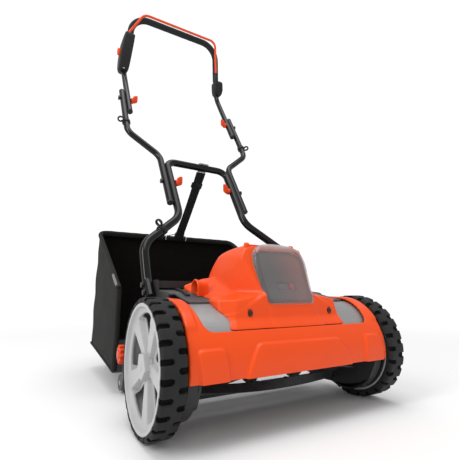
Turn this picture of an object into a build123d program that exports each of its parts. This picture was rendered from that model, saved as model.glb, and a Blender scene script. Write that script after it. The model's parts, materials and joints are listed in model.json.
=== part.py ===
from build123d import *
import os
import math

# Cordless reel mower with a grass catcher.
# Working coordinates: X to the machine's left/right, Y back from the wheel
# axle, Z up from the ground. Every part is shifted by Y_OFF when it is saved,
# so that the origin is the bottom centre of the whole machine.

# ---- driving dimensions, mm -------------------------------------------------
WHEEL_R = 104.0          # wheel radius, also the axle height
TYRE_IN, TYRE_OUT = 211.0, 249.3
RIM_LIP_R = 95.6
AXLE_R = 6.0
REEL_Y, REEL_Z = 5.0, 95.0
REEL_R = 56.0
REEL_HALF = 168.0
BLADES = 5
MOTOR_Y, MOTOR_Z = 78.0, 184.0
PLATE_IN, PLATE_OUT = 183.5, 187.5
SHROUD_HALF = 207.0
COVER_HALF = 121.0
HOOP_R = 10.0
TUBE_R = 9.0
FOAM_R = 12.5
HOOP_X = 94.6            # hoop leg axis
MID_X = 111.1            # middle tube axis beside the hoop
MID_TOP_X = 197.0
UPPER_X = 181.2
LOW_PIV = (305.5, 506.0)     # lower fold axis, Y and Z
UP_PIV = (485.0, 813.0)      # upper fold axis, Y and Z
BAIL_PIV = (556.0, 1010.0)   # bail axis, Y and Z
ARM_PIV = (150.0, 95.0)      # roller carriage axis, Y and Z
KNOB = (222.0, 87.0)
ROLLER = (262.0, 21.0)
ROLLER_R = 21.0
BAG_HALF = 233.0
LID_AXIS = (-13.0, 303.0)
Y_OFF = -(-WHEEL_R + 596.73) / 2.0

os.makedirs("parts", exist_ok=True)


# ---- helpers ----------------------------------------------------------------
def save(name, *solids):
    flat = []
    for s in solids:
        flat += list(s.solids())
    flat = [Pos(0, Y_OFF, 0) * s for s in flat]
    shape = flat[0] if len(flat) == 1 else Compound(children=flat)
    shape.label = name
    export_step(shape, "parts/" + name + ".step")


def flip(s):
    return mirror(s, about=Plane.YZ)


def bx(x0, x1, y0, y1, z0, z1):
    return Pos((x0 + x1) / 2, (y0 + y1) / 2, (z0 + z1) / 2) * Box(
        abs(x1 - x0), abs(y1 - y0), abs(z1 - z0)
    )


def cx(y, z, r, x0, x1):
    """Cylinder along X."""
    return Pos((x0 + x1) / 2, y, z) * Rot(0, 90, 0) * Cylinder(r, abs(x1 - x0))


def ring(y, z, ri, ro, x0, x1):
    return cx(y, z, ro, x0, x1) - cx(y, z, ri, x0 - 1, x1 + 1)


def yz(pts, x0, x1):
    """Prism along X from a closed outline in Y, Z."""
    face = Plane.YZ.offset(x0) * make_face(Polyline(*pts, close=True))
    return extrude(face, amount=x1 - x0)


def xz(pts, y0, y1):
    """Prism along Y from a closed outline in X, Z."""
    face = Plane(origin=(0, y1, 0), x_dir=(1, 0, 0), z_dir=(0, -1, 0)) * make_face(
        Polyline(*pts, close=True)
    )
    return extrude(face, amount=y1 - y0)


def oval(a, b, t0, t1, n=16, y=0.0, z=WHEEL_R):
    """Points on an ellipse about (y, z), angle from the rear (+Y) upward."""
    return [
        (
            y + a * math.cos(math.radians(t0 + (t1 - t0) * i / n)),
            z + b * math.sin(math.radians(t0 + (t1 - t0) * i / n)),
        )
        for i in range(n + 1)
    ]


def tube(pts, r, radii, ri=None):
    path = FilletPolyline(*pts, radius=radii)
    plane = Plane(origin=path @ 0, z_dir=path % 0)
    sk = Circle(r) if ri is None else Circle(r) - Circle(ri)
    return sweep(plane * sk, path=path)


def rod(p0, p1, r):
    v = Vector(*p1) - Vector(*p0)
    return Plane(origin=p0, z_dir=v) * Cylinder(
        r, v.length, align=(Align.CENTER, Align.CENTER, Align.MIN)
    )


def hex_x(y, z, af, x0, x1):
    r = af / math.sqrt(3)
    pts = [
        (y + r * math.cos(math.radians(60 * i)), z + r * math.sin(math.radians(60 * i)))
        for i in range(6)
    ]
    return yz(pts, x0, x1)


# ---- side plates ------------------------------------------------------------
plate_pts = [
    (-70, 52), (-84, 80), (-88, 104), (-85, 126), (-74, 150), (-52, 174),
    (-24, 188), (10, 197.5), (51, 199.5), (52, 210.5), (60, 212.5), (112, 217), (118, 240), (142, 240),
    (162, 231), (186, 226), (193, 212), (193, 120), (180, 80), (150, 56),
    (110, 32), (60, 25), (0, 27), (-40, 36),
]
plate = yz(plate_pts, PLATE_IN, PLATE_OUT)
plate -= cx(REEL_Y, REEL_Z, 14, 180, 190)
for hy, hz in ((130, 215), (143.2, 229.9)):
    plate -= cx(hy, hz, 3.05, 180, 190)
for hz in (195, 155):                      # rear mounting holes
    plate -= cx(180, hz, 3.25, 180, 190)
# slotted height bracket on each plate; the knob's stud reaches into its slot
brk = yz([(176, 62), (176, 118), (232, 110), (236, 96), (236, 74), (226, 64)], PLATE_OUT, PLATE_OUT + 4)
brk -= yz([(215, 71), (213, 102), (229, 102), (230, 71)], PLATE_OUT - 1, PLATE_OUT + 5)
plate += brk
plate_r = plate - cx(MOTOR_Y, MOTOR_Z, 6, 180, 190)
save("side_plates", flip(plate), plate_r)

# ---- end housings: carry the wheel axles, cover the belt ---------------------
big = Pos(0, WHEEL_R) * Circle(86)
small = Pos(MOTOR_Y, MOTOR_Z) * Circle(19)
hull_o = make_hull((big + small).edges())
hull_i = make_hull(
    (Pos(0, WHEEL_R) * Circle(83) + Pos(MOTOR_Y, MOTOR_Z) * Circle(16.4)).edges()
)
housing = extrude(Plane.YZ.offset(PLATE_OUT) * hull_o, amount=16)
housing -= extrude(Plane.YZ.offset(PLATE_OUT - 1) * hull_i, amount=14)
save("end_housings", flip(housing), housing)

# ---- axle stubs ---------------------------------------------------------------
stub = cx(0, WHEEL_R, 18, 203.5, 206.5) + cx(0, WHEEL_R, AXLE_R, 206.5, 240)
save("axle_stubs", stub, flip(stub))


# ---- wheels -------------------------------------------------------------------
def spin(pts):
    """Revolve an (x, radius) outline about the wheel axle."""
    face = make_face(Polyline(*[(x, 0, WHEEL_R + r) for x, r in pts], close=True))
    return revolve(face, axis=Axis((0, 0, WHEEL_R), (1, 0, 0)))


tyre = spin([
    (TYRE_IN, 91), (TYRE_IN, 100.5), (214.5, WHEEL_R), (245.8, WHEEL_R),
    (TYRE_OUT, 100.5), (TYRE_OUT, RIM_LIP_R), (243, RIM_LIP_R), (243, 91),
])
rim = spin([
    (212.2, 87.5), (212.2, 91), (243, 91), (243, RIM_LIP_R), (248.3, RIM_LIP_R),
    (248.3, 92), (245, 88), (243, 72), (232, 72), (230, 87.5),
])
hub = spin([(212.2, AXLE_R + 0.08), (212.2, 20), (230, 20), (230, 24), (246, 21),
            (246, 0.0), (241, 0.0), (241, AXLE_R + 0.08)])
spokes = None
for k in range(BLADES):
    a = 62 + 72 * k
    sp = yz([(10, -9), (10, 9), (78, 17), (78, -17)], 230, 243)
    sp = Pos(0, 0, WHEEL_R) * Rot(180 - a, 0, 0) * sp
    spokes = sp if spokes is None else spokes + sp
spokes -= cx(0, WHEEL_R, 21, 200, 260)
spokes -= ring(0, WHEEL_R, 73.5, 120, 200, 260)
rim = rim + hub + spokes
cover_disc = ring(0, WHEEL_R, 20.0, 86.5, 212.2, 214.2)
save("tyre_right", tyre)
save("tyre_left", flip(tyre))
save("rim_right", rim)
save("rim_left", flip(rim))
save("wheel_cover_right", cover_disc)
save("wheel_cover_left", flip(cover_disc))

# ---- front shroud ---------------------------------------------------------------
outer = oval(95, 99, 188.2, 90, 22) + [(50, 204)]
inner = [(50, 201)] + oval(92, 96, 90, 188.6, 22)
shroud = yz(outer + inner, -SHROUD_HALF, SHROUD_HALF)
shroud -= bx(-175, 175, -120, 80, 157, 230)
save("front_shroud", shroud)

# ---- cutter guard, rear deck, chute, tie bars --------------------------------------
guard = yz(oval(88, 94, 148, 100.5, 12) + oval(86, 92, 100.5, 148, 12), -PLATE_IN, PLATE_IN)
save("cutter_guard", guard)
deck_low = [(-15.5, 197.0), (20, 203.5), (60, 212.5), (118, 217.5)]
deck_pts = deck_low + [(y, z + 2.5) for y, z in reversed(deck_low)]
deck = yz(deck_pts, -PLATE_IN, PLATE_IN)
deck -= bx(-52, 52, -30, 18, 180, 230)
for s in (-1, 1):
    deck -= bx(s * 174.6, s * 190, -30, 51, 180, 230)
save("rear_deck", deck)
chute_low = [(22, 192.5), (42, 160), (60, 149), (114, 147)]
chute_pts = chute_low + [(114, 149.2), (60.6, 151.2), (43.6, 161.6), (24, 193.6)]
chute = yz(chute_pts, -PLATE_IN, PLATE_IN)
chute_face = yz([(58, 148.5), (104, 148), (104, 215.5), (62, 212)], 57, 60.5)
chute_face -= cx(MOTOR_Y, MOTOR_Z, 9, 50, 70)
save("grass_chute", chute + chute_face)
bar = bx(-PLATE_IN, PLATE_IN, 119.5, 136.5, 224, 238) - bx(-190, 190, 121.5, 134.5, 220, 236)
low_bar = cx(110, 46, 7, -PLATE_IN, PLATE_IN)
save("tie_bars", bar, low_bar)

# ---- reel -------------------------------------------------------------------------
shaft = cx(REEL_Y, REEL_Z, 7, -190, 199)
save("reel_shaft", shaft)
bearing = ring(REEL_Y, REEL_Z, 7.05, 14, 181.5, 189.8)
save("shaft_bearings", bearing, flip(bearing), ring(MOTOR_Y, MOTOR_Z, 4.05, 6, 181.5, 189.8))
hubs = None
for x0 in (-150, -51, 48, 147):
    disc = ring(REEL_Y, REEL_Z, 7, 40, x0, x0 + 3)
    for k in range(5):
        a = math.radians(36 + 72 * k)
        disc -= cx(REEL_Y + 24 * math.cos(a), REEL_Z + 24 * math.sin(a), 8, x0 - 1, x0 + 4)
    disc += ring(REEL_Y, REEL_Z, 7, 13, x0 - 4, x0 + 7)
    hubs = [disc] if hubs is None else hubs + [disc]
save("reel_spiders", *hubs)
blades = []
STEPS = 8
TWIST = 64.0
for k in range(BLADES):
    secs = []
    for i in range(STEPS + 1):
        x = -REEL_HALF + 2 * REEL_HALF * i / STEPS
        a = 72 * k + TWIST * i / STEPS
        pl = Plane(origin=(x, REEL_Y, REEL_Z), x_dir=(
            0, math.cos(math.radians(a)), math.sin(math.radians(a))), z_dir=(1, 0, 0))
        secs.append(pl * Pos((REEL_R + 40.2) / 2, 0) * Rectangle(REEL_R - 0.1 - 40.2, 2.6))
    blades.append(loft(secs, ruled=True))
save("reel_blades", *blades)
reel_pulley = ring(REEL_Y, REEL_Z, 7, 28, 190.5, 198.5)
save("reel_pulley", reel_pulley)

# ---- bed knife -----------------------------------------------------------------------
knife = yz([(24, 41.0), (56, 38.3), (56, 40.8), (27, 42.9)], -PLATE_IN, PLATE_IN)
save("bedknife_blade", knife)
kbar = yz([(34, 31), (60, 29), (60, 37.9625), (36, 39.9875)], -PLATE_IN, PLATE_IN)
save("bedknife_bar", kbar)
kn = Plane(origin=(0, 47, 41.45), x_dir=(1, 0, 0), z_dir=(0, 0.0722, 0.99739))
knife_screws = [
    kn * Pos(x, 0, 0.02) * Cylinder(4.2, 2.2, align=(Align.CENTER, Align.CENTER, Align.MIN))
    for x in (-140, -70, 0, 70, 140)
]

# ---- motor and belt drive ----------------------------------------------------------------
motor = cx(MOTOR_Y, MOTOR_Z, 22, -62, 57)
motor -= cx(MOTOR_Y, MOTOR_Z, 4.3, 40, 60)
save("motor_body", motor)
mshaft = cx(MOTOR_Y, MOTOR_Z, 4, 40.5, 199) + ring(MOTOR_Y, MOTOR_Z, 4, 12, 190.5, 198.5)
save("motor_shaft", mshaft)
b_o = make_hull((Pos(MOTOR_Y, MOTOR_Z) * Circle(15.2) + Pos(REEL_Y, REEL_Z) * Circle(31.2)).edges())
b_i = make_hull((Pos(MOTOR_Y, MOTOR_Z) * Circle(12.3) + Pos(REEL_Y, REEL_Z) * Circle(28.3)).edges())
belt = extrude(Plane.YZ.offset(191.5) * b_o, amount=6) - extrude(Plane.YZ.offset(190) * b_i, amount=9)
save("drive_belt", belt)

# ---- central cover -------------------------------------------------------------------------
low_out = [(-74, 150), (-66, 165), (-64.5, 190), (-24, 222), (12, 243.5), (60, 241),
           (98, 234), (104, 226), (104, 190), (0, 150)]
low_in = [(-71, 140), (-63, 165.5), (-61.5, 188.6), (-22, 218.5), (12.5, 240), (60, 238),
          (96.6, 231.6), (101, 225), (101, 150), (0, 140)]
tall_out = [(-64.5, 170), (-63.9, 193.9), (-19.3, 294.7), (-10, 302), (10, 306.5), (40, 303),
            (70, 292), (90, 270), (102, 245), (104, 226), (104, 190)]
tall_in = [(-61.4, 160), (-60.9, 193.3), (-17, 292.5), (-9, 299), (10, 303.4), (39, 300),
           (68, 289.6), (87.4, 268.4), (99, 244), (101, 225), (101, 170)]
fr_out = [(-87, 140), (-86, 245), (-80, 274), (-66, 299), (-50, 307), (50, 307), (66, 299),
          (80, 274), (86, 245), (87, 140)]
fr_in = [(-84, 130), (-83, 244), (-77.2, 273), (-64, 296.4), (-49, 304), (49, 304), (64, 296.4),
         (77.2, 273), (83, 244), (84, 130)]
body_o = yz(low_out, -COVER_HALF, COVER_HALF) + (yz(tall_out, -90, 90) & xz(fr_out, -90, 130))
body_i = yz(low_in, -COVER_HALF + 3, COVER_HALF - 3) + (yz(tall_in, -90, 90) & xz(fr_in, -90, 130))
cover = body_o - body_i
# cable hood on the left shoulder
hood = (cx(42, 222, 14, -134, -COVER_HALF) + bx(-134, -COVER_HALF, 28, 56, 205, 222))
hood -= cx(42, 222, 11, -136, -COVER_HALF - 1.5) + bx(-136, -COVER_HALF - 1.5, 31, 53, 200, 222)
cover += hood
# follows the guard below and stands on the deck behind
cover -= yz([(-150, 100), (-150, 130)] + oval(88.4, 94.4, 165, 100.5, 14) +
            [(-15.5, 199.9), (20, 206.3), (60, 215.3), (118, 220.3), (118, 100)], -140, 140)
cover -= bx(-130, 130, -100, -60, 100, 157.3)
# lid opening, and the notch for its hinge
LID = Plane(origin=(0, -63.9, 193.9), x_dir=(1, 0, 0), z_dir=(0, -0.9147, 0.4047))
# local y of LID runs up the leaning face, local z points outward


def lid_plate(grow, z0, z1):
    g = grow
    pts = [(-48.5 - g, 1.5 - g), (48.5 + g, 1.5 - g), (61.5 + g, 102 + g), (-61.5 - g, 102 + g)]
    face = make_face(Polyline(*pts, close=True))
    return LID * Pos(0, 0, z0) * extrude(face, amount=z1 - z0)


cover -= lid_plate(0.8, -3.5, 6)
cover -= bx(-53.2, 53.2, -27, -2.5, 285, 312)
for s in (-1, 1):
    ear = cx(LID_AXIS[0], LID_AXIS[1], 5, s * 53.2, s * 60) + bx(
        s * 53.2, s * 60, LID_AXIS[0] - 4, LID_AXIS[0] + 4, 298, 303)
    cover += ear
cover -= cx(LID_AXIS[0], LID_AXIS[1], 2.0, -61, 61)
save("motor_cover", max(cover.solids(), key=lambda q: q.volume))

lid = lid_plate(0, -3, 0)
tongue = LID * bx(-52.4, 52.4, 101.9, 116.5, -3, 0)
lid = lid + tongue
for s in (-1, 1):
    lid += cx(LID_AXIS[0], LID_AXIS[1], 4.6, s * 38, s * 52.4)
lid -= cx(LID_AXIS[0], LID_AXIS[1], 2.05, -61, 61)
save("battery_lid", lid)
save("lid_hinge_pin", cx(LID_AXIS[0], LID_AXIS[1], 2.0, -60, 60))

bay = LID * (bx(-42.5, 42.5, 24, 103, -56, -3.8) - bx(-40.5, 40.5, 26, 101, -54, 0))
save("battery_bay", bay)
pack = LID * (bx(-39, 39, 27.5, 99.5, -52, -12) - bx(-14, 12, 60, 72, -14, -10))
save("battery_pack", pack)
ctrl = yz([(60.5, 215.4), (92, 218.2), (92, 236), (60.5, 236)], -42, 42)
save("controller_box", ctrl)
screw = Pos(88.3, -66.35, 181.9) * Rot(90, 0, 0) * Cylinder(4.2, 2)
screw -= Pos(88.3, -67.2, 181.9) * Box(6, 1.2, 1.2)
save("screws", screw, flip(screw), *knife_screws)

# ---- lower hoop -------------------------------------------------------------------------------
hp = [(197.5, 122, 206), (197.5, 150, 237.5), (197.5, 188, 317), (HOOP_X, 238.9, 399.7),
      (HOOP_X, 352.4, 580.9)]
path_pts = [(-x, y, z) for x, y, z in hp] + list(reversed(hp))
hoop = tube(path_pts, HOOP_R, [30, 60, 60, 27, 27, 60, 60, 30], HOOP_R - 2)
for s in (-1, 1):
    hoop -= bx(s * (HOOP_X + 8.5), s * 150, 210, 400, 424, 640)
    hoop -= cx(LOW_PIV[0], LOW_PIV[1], 3.05, s * 70, s * 120)
    for hy, hz in ((130, 215), (143.2, 229.9)):
        hoop -= cx(hy, hz, 3.05, s * 180, s * 212)
save("lower_hoop", hoop)
bolts = []
for hy, hz in ((130, 215), (143.2, 229.9)):
    bolt = cx(hy, hz, 3.0, 179, 208) + cx(hy, hz, 5.5, 207.6, 211.5) + hex_x(hy, hz, 10, 179, 183.4)
    bolts += [bolt, flip(bolt)]

# ---- middle tubes ---------------------------------------------------------------------------------


def low_y(z):
    return 238.9 + (z - 399.7) * (352.4 - 238.9) / (580.9 - 399.7)


def up_y(z):
    return 398 + 0.6 * (z - 668)


mp = [(MID_X, low_y(441), 441), (MID_X, low_y(597), 597), (MID_TOP_X, 398, 668),
      (MID_TOP_X, up_y(846), 846)]
mid = tube(mp, TUBE_R, [48, 48], TUBE_R - 2)
mid -= bx(60, MID_X - 7.8, 200, 420, 420, 640)
mid -= bx(150, MID_TOP_X - 7.8, 400, 560, 740, 900)
mid -= cx(LOW_PIV[0], LOW_PIV[1], 3.05, 90, 130)
mid -= cx(UP_PIV[0], UP_PIV[1], 3.05, 170, 220)
save("mid_tubes", mid, flip(mid))
d_low = Vector(0, low_y(597) - low_y(441), 156).normalized()
d_up = Vector(0, 0.6, 1).normalized()
p0 = Vector(*mp[0])
plug = rod(tuple(p0 - d_low * 4), tuple(p0), TUBE_R) + rod(tuple(p0), tuple(p0 + d_low * 8), 5.6)
plug -= bx(60, MID_X - 7.8, 200, 420, 400, 640)
p1 = Vector(*mp[-1])
plug2 = rod(tuple(p1), tuple(p1 + d_up * 4), TUBE_R) + rod(tuple(p1 - d_up * 8), tuple(p1), 5.6)
plug2 -= bx(150, MID_TOP_X - 7.8, 400, 560, 740, 900)
save("mid_tube_plugs", plug, flip(plug), plug2, flip(plug2))

# ---- upper handle ------------------------------------------------------------------------------------
up = [(UPPER_X, up_y(761), 761), (UPPER_X, 582.2, 975), (162, 556, 1177)]
up_path = [(-x, y, z) for x, y, z in up] + list(reversed(up))
upper = tube(up_path, TUBE_R, [100, 62, 62, 100], TUBE_R - 2)
for s in (-1, 1):
    upper -= bx(s * (UPPER_X + 7.8), s * 230, 400, 600, 740, 872)
    upper -= cx(UP_PIV[0], UP_PIV[1], 3.05, s * 165, s * 200)
save("upper_handle", upper)
u0 = Vector(*up[0])
uplug = rod(tuple(u0 - d_up * 5), tuple(u0), TUBE_R) + rod(tuple(u0), tuple(u0 + d_up * 8), 5.8)
uplug -= bx(UPPER_X + 7.8, 230, 400, 600, 700, 872)
save("upper_tube_plugs", uplug, flip(uplug))


def leg(z):
    """Centre of the right upper leg above the bend."""
    t = (z - 975) / (1177 - 975)
    return Vector(UPPER_X + (162 - UPPER_X) * t, 582.2 + (556 - 582.2) * t, z)


legL = leg(1101)
legR = leg(1036)
foam_path = FilletPolyline(
    (-legL.X, legL.Y, legL.Z), (-162, 556, 1177), (162, 556, 1177), (legR.X, legR.Y, legR.Z),
    radius=[62, 62])
fp = Plane(origin=foam_path @ 0, z_dir=foam_path % 0)
foam = sweep(fp * (Circle(FOAM_R) - Circle(TUBE_R + 0.02)), path=foam_path)
save("grip_foam", foam)

# ---- switch box and bail holder ---------------------------------------------------------------------------
bore_pts = [(-UPPER_X, up_y(900), 900), (-UPPER_X, 582.2, 975), (-162, 556, 1177)]
bore = tube(bore_pts, TUBE_R + 0.02, [100])


def up_box(side, x_in, x_out, y_f, y_b, z0, z1, r):
    c0 = leg(z0)
    c1 = leg(z1)
    a = Vector(side * c0.X, c0.Y, c0.Z)
    v = Vector(side * c1.X, c1.Y, c1.Z) - a
    pl = Plane(origin=tuple(a), x_dir=(side, 0, side * 0.0928 * side), z_dir=tuple(v))
    b = Pos((x_in + x_out) / 2, 0, 0) * Box(1, 1, 1)
    ylo, yhi = (-y_b, -y_f) if pl.y_dir.Y < 0 else (y_f, y_b)
    b = Pos((x_in + x_out) / 2, (ylo + yhi) / 2, v.length / 2) * Box(
        x_out - x_in, yhi - ylo, v.length)
    b = fillet(b.edges().filter_by(Axis.Z), r)
    return pl * b


box = up_box(-1, -15, 22, -22, 13, 962, 1100, 7)
box -= bore
box -= yz([(546, 1002), (566, 1002), (558, 1110), (536, 1110)], -188, -171)
box -= cx(BAIL_PIV[0], BAIL_PIV[1], 3.05, -196, -165)
box -= bx(-230, -190, 555.9, 570.1, 1011.9, 1040.1)
save("switch_box", max(box.solids(), key=lambda q: q.volume))
save("lock_button", bx(-211, -195, 556, 570, 1012, 1040))

hold = up_box(1, -13, 21, -20, 12, 980, 1035, 6)
hold -= flip(bore)
hold -= yz([(546, 1000), (566, 1000), (562, 1045), (542, 1045)], 160, 178.5)
hold -= cx(BAIL_PIV[0], BAIL_PIV[1], 3.05, 158, 186)
save("bail_holder", max(hold.solids(), key=lambda q: q.volume))

bail_path = [(-179.5, 556, 1010), (-180.5, 546.5, 1092), (-130, 532, 1179), (150, 532, 1179),
             (169.5, 556, 1010)]
bail = tube(bail_path, 4.0, [30, 30, 24])
bail += cx(BAIL_PIV[0], BAIL_PIV[1], 3.0, -186.5, -172.5)
bail += cx(BAIL_PIV[0], BAIL_PIV[1], 3.0, 162.5, 176.5)
save("bail_bar", bail)

# ---- clamps ---------------------------------------------------------------------------------------------------
lows, ups = [], []
lb = cx(LOW_PIV[0], LOW_PIV[1], 3.0, 74, MID_X + 10) + hex_x(
    LOW_PIV[0], LOW_PIV[1], 12, MID_X + 9.2, MID_X + 14)
ub = cx(UP_PIV[0], UP_PIV[1], 3.0, 160, MID_TOP_X + 10) + hex_x(
    UP_PIV[0], UP_PIV[1], 12, MID_TOP_X + 9.2, MID_TOP_X + 14)
save("frame_bolts", *bolts, lb, flip(lb))
save("upper_clamp_bolts", ub, flip(ub))


def lever(piv, x_tube, length):
    """Wing lever: hub on the bolt, paddle standing off the tube."""
    y, z = piv
    h = cx(y, z, 8.5, x_tube - 8, x_tube - 0.2)
    p = bx(x_tube - length, x_tube - 6, y - 5, y + 5, z - 7, z + 19)
    p = p & (cx(y, z + 6, 14.5, x_tube - length, x_tube - 5))
    return (h + p) - cx(y, z, 3.05, x_tube - length + 5, x_tube + 1)


lev_l = lever(LOW_PIV, HOOP_X - HOOP_R, 20)
lev_u = lever(UP_PIV, UPPER_X - TUBE_R, 20)
save("lower_lever_right", lev_l)
save("lower_lever_left", flip(lev_l))
save("upper_lever_right", lev_u)
save("upper_lever_left", flip(lev_u))

# ---- cable clips: collars with an oval guide ring ---------------------------------------------------------------


def clip_on(p, d, r, ring_dir, ring_r=7.5):
    pl = Plane(origin=tuple(p), z_dir=tuple(d))
    c = pl * (Cylinder(r + 2.6, 13) - Cylinder(r + 0.02, 15))
    o = Vector(*p) + Vector(*ring_dir).normalized() * (r + 2.0 + ring_r)
    t = Plane(origin=tuple(o), z_dir=tuple(d)) * Torus(ring_r, 1.5)
    return c + t


mc = Vector(MID_TOP_X, up_y(705), 705)
clip_m = clip_on(mc, d_up, TUBE_R, (-1, -0.3, 0.2))
save("mid_cable_clips", clip_m, flip(clip_m))
hv = Vector(HOOP_X - 197.5, 50.9, 82.7).normalized()
hc = Vector(197.5, 188, 317) + hv * 68
clip_h = clip_on(hc, hv, HOOP_R, (0.2, -1, 0.6))
save("hoop_cable_clip", flip(clip_h))

# ---- roller carriage -----------------------------------------------------------------------------------------------
arm_pts = [(140, 84), (140, 106), (160, 109), (226, 106), (238, 99), (243, 84), (247, 41),
           (262, 38.5), (274, 33), (279, 21), (274, 9), (262, 4.5), (248, 8), (240, 18),
           (228, 50), (216, 66), (190, 80)]
arm = yz(arm_pts, 210.5, 215.5)
arm -= cx(ARM_PIV[0], ARM_PIV[1], 6.1, 205, 220)
arm -= cx(KNOB[0], KNOB[1], 4.1, 205, 220)
arm -= cx(ROLLER[0], ROLLER[1], 5.0, 205, 220)
save("roller_arms", arm, flip(arm))
pin = cx(ARM_PIV[0], ARM_PIV[1], 6.0, PLATE_OUT, 216.2) + cx(ARM_PIV[0], ARM_PIV[1], 10, PLATE_OUT, 210.2) \
    + cx(ARM_PIV[0], ARM_PIV[1], 9, 216.0, 218.0)
save("arm_pivots", pin, flip(pin))
save("roller_axle", cx(ROLLER[0], ROLLER[1], 5.0, -215.5, 215.5))
roll = ring(ROLLER[0], ROLLER[1], 5.08, ROLLER_R, -207, 207)
for x in (-140, -70, 0, 70, 140):
    roll -= ring(ROLLER[0], ROLLER[1], ROLLER_R - 1.5, ROLLER_R + 3, x - 2, x + 2)
save("rear_roller", roll)
teeth = cx(KNOB[0], KNOB[1], 17.5, 217.0, 230.5)
for k in range(10):
    a = math.radians(36 * k)
    teeth += cx(KNOB[0] + 16 * math.cos(a), KNOB[1] + 16 * math.sin(a), 4.0, 217.0, 230.5)
teeth -= cx(KNOB[0], KNOB[1], 4.0, 210, 240)
save("height_knob", flip(teeth))
stud = cx(KNOB[0], KNOB[1], 4.0, PLATE_OUT + 0.5, 230.5) + cx(KNOB[0], KNOB[1], 7.5, 230.5, 232.5)
save("knob_stud", flip(stud))

# ---- grass catcher ---------------------------------------------------------------------------------------------------
FL = 24.0 / 317.0                       # slope of the floor


def floor_z(y):
    return 44 + (y - 255) * FL


floor = yz([(255, 44), (572, 68), (571.8, 70.8), (255, 46.8)], -BAG_HALF, BAG_HALF)
save("catcher_floor", floor)
side_pts = [(255, 46.8), (571.8, 70.8), (552, 397), (247, 224)]
shell = yz(side_pts, -BAG_HALF, BAG_HALF)
shell -= yz([(150, 38.9), (569.3, 70.6 - 0.19), (549.2, 397.0), (545, 470), (150, 470)],
            -BAG_HALF + 2.5, BAG_HALF - 2.5)
shell -= yz([(150, 38.9 - 20), (150, 38.9), (569.3, 70.62), (569.3, 60)], -BAG_HALF + 2.5, BAG_HALF - 2.5)
save("catcher_fabric", max(shell.solids(), key=lambda q: q.volume))
wx = BAG_HALF - 2.5 - 3.3
wire_pts = [(-wx, 259.5, 51.5), (-wx, 252.5, 219.5), (-wx, 545.4, 386), (wx, 545.4, 386),
            (wx, 252.5, 219.5), (wx, 259.5, 51.5)]
frame_wire = tube(wire_pts, 3.0, [12, 16, 16, 12])
carry = tube([(-22, 541.5, 386), (-22, 538, 399), (14, 532, 407), (48, 538, 399), (48, 541.5, 386)],
             2.0, [6, 14, 6])
save("catcher_frame", frame_wire, carry)
# strap from the rear rim to a hook over the hoop's crossbar
strap_a, strap_b = Vector(21, 541.0, 392), Vector(21, 366.0, 571.5)
sd = (strap_b - strap_a).normalized()
sp = Plane(origin=tuple(strap_a), x_dir=(1, 0, 0), z_dir=tuple(sd))
strap = sp * (Pos(0, 0, (strap_b - strap_a).length / 2) * Box(30, 1.8, (strap_b - strap_a).length))
save("catcher_strap", strap)
bar_c = (352.4, 580.9)
hook_in, hook_out = 10.6, 14.6
hook_pts_o, hook_pts_i = [], []
for i in range(19):
    a = math.radians(-40 + 180 * i / 18)
    hook_pts_o.append((bar_c[0] + hook_out * math.cos(a), bar_c[1] + hook_out * math.sin(a)))
    hook_pts_i.append((bar_c[0] + hook_in * math.cos(a), bar_c[1] + hook_in * math.sin(a)))
hook = yz(hook_pts_o + list(reversed(hook_pts_i)), 8, 34)
save("strap_hook", hook)
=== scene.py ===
import bpy
import json
import math
import random
import numpy as np
from mathutils import Vector, Matrix


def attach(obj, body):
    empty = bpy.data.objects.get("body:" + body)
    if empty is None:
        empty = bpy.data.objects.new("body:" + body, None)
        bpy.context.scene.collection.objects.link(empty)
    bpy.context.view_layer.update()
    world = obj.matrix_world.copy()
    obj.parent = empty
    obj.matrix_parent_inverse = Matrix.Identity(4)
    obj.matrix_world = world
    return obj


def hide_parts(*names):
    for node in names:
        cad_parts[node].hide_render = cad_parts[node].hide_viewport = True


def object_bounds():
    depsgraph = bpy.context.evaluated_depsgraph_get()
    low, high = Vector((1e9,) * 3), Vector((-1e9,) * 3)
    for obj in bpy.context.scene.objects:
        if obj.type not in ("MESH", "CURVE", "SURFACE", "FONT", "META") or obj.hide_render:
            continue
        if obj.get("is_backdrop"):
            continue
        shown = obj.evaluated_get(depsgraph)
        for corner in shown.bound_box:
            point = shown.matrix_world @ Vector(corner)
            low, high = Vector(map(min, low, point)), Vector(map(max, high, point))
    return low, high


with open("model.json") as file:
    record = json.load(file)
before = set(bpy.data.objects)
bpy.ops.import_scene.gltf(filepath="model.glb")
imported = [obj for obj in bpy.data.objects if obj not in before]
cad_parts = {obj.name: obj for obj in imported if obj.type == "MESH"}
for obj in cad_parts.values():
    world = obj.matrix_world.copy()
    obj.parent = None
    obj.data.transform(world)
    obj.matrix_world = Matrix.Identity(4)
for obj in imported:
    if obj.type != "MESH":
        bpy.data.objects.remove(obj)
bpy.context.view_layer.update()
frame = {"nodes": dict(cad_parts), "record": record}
NODES = frame["nodes"]
random.seed(11)

YO = -246.365                      # working millimetres to the row frame


def P(p):
    p = np.asarray(p, float)
    return (p + np.array([0.0, YO, 0.0])) / 1000.0


# ---------------------------------------------------------------- materials
MATS = {}


def nnode(nt, kind, **kw):
    n = nt.nodes.new(kind)
    for k, v in kw.items():
        setattr(n, k, v)
    return n


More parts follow.
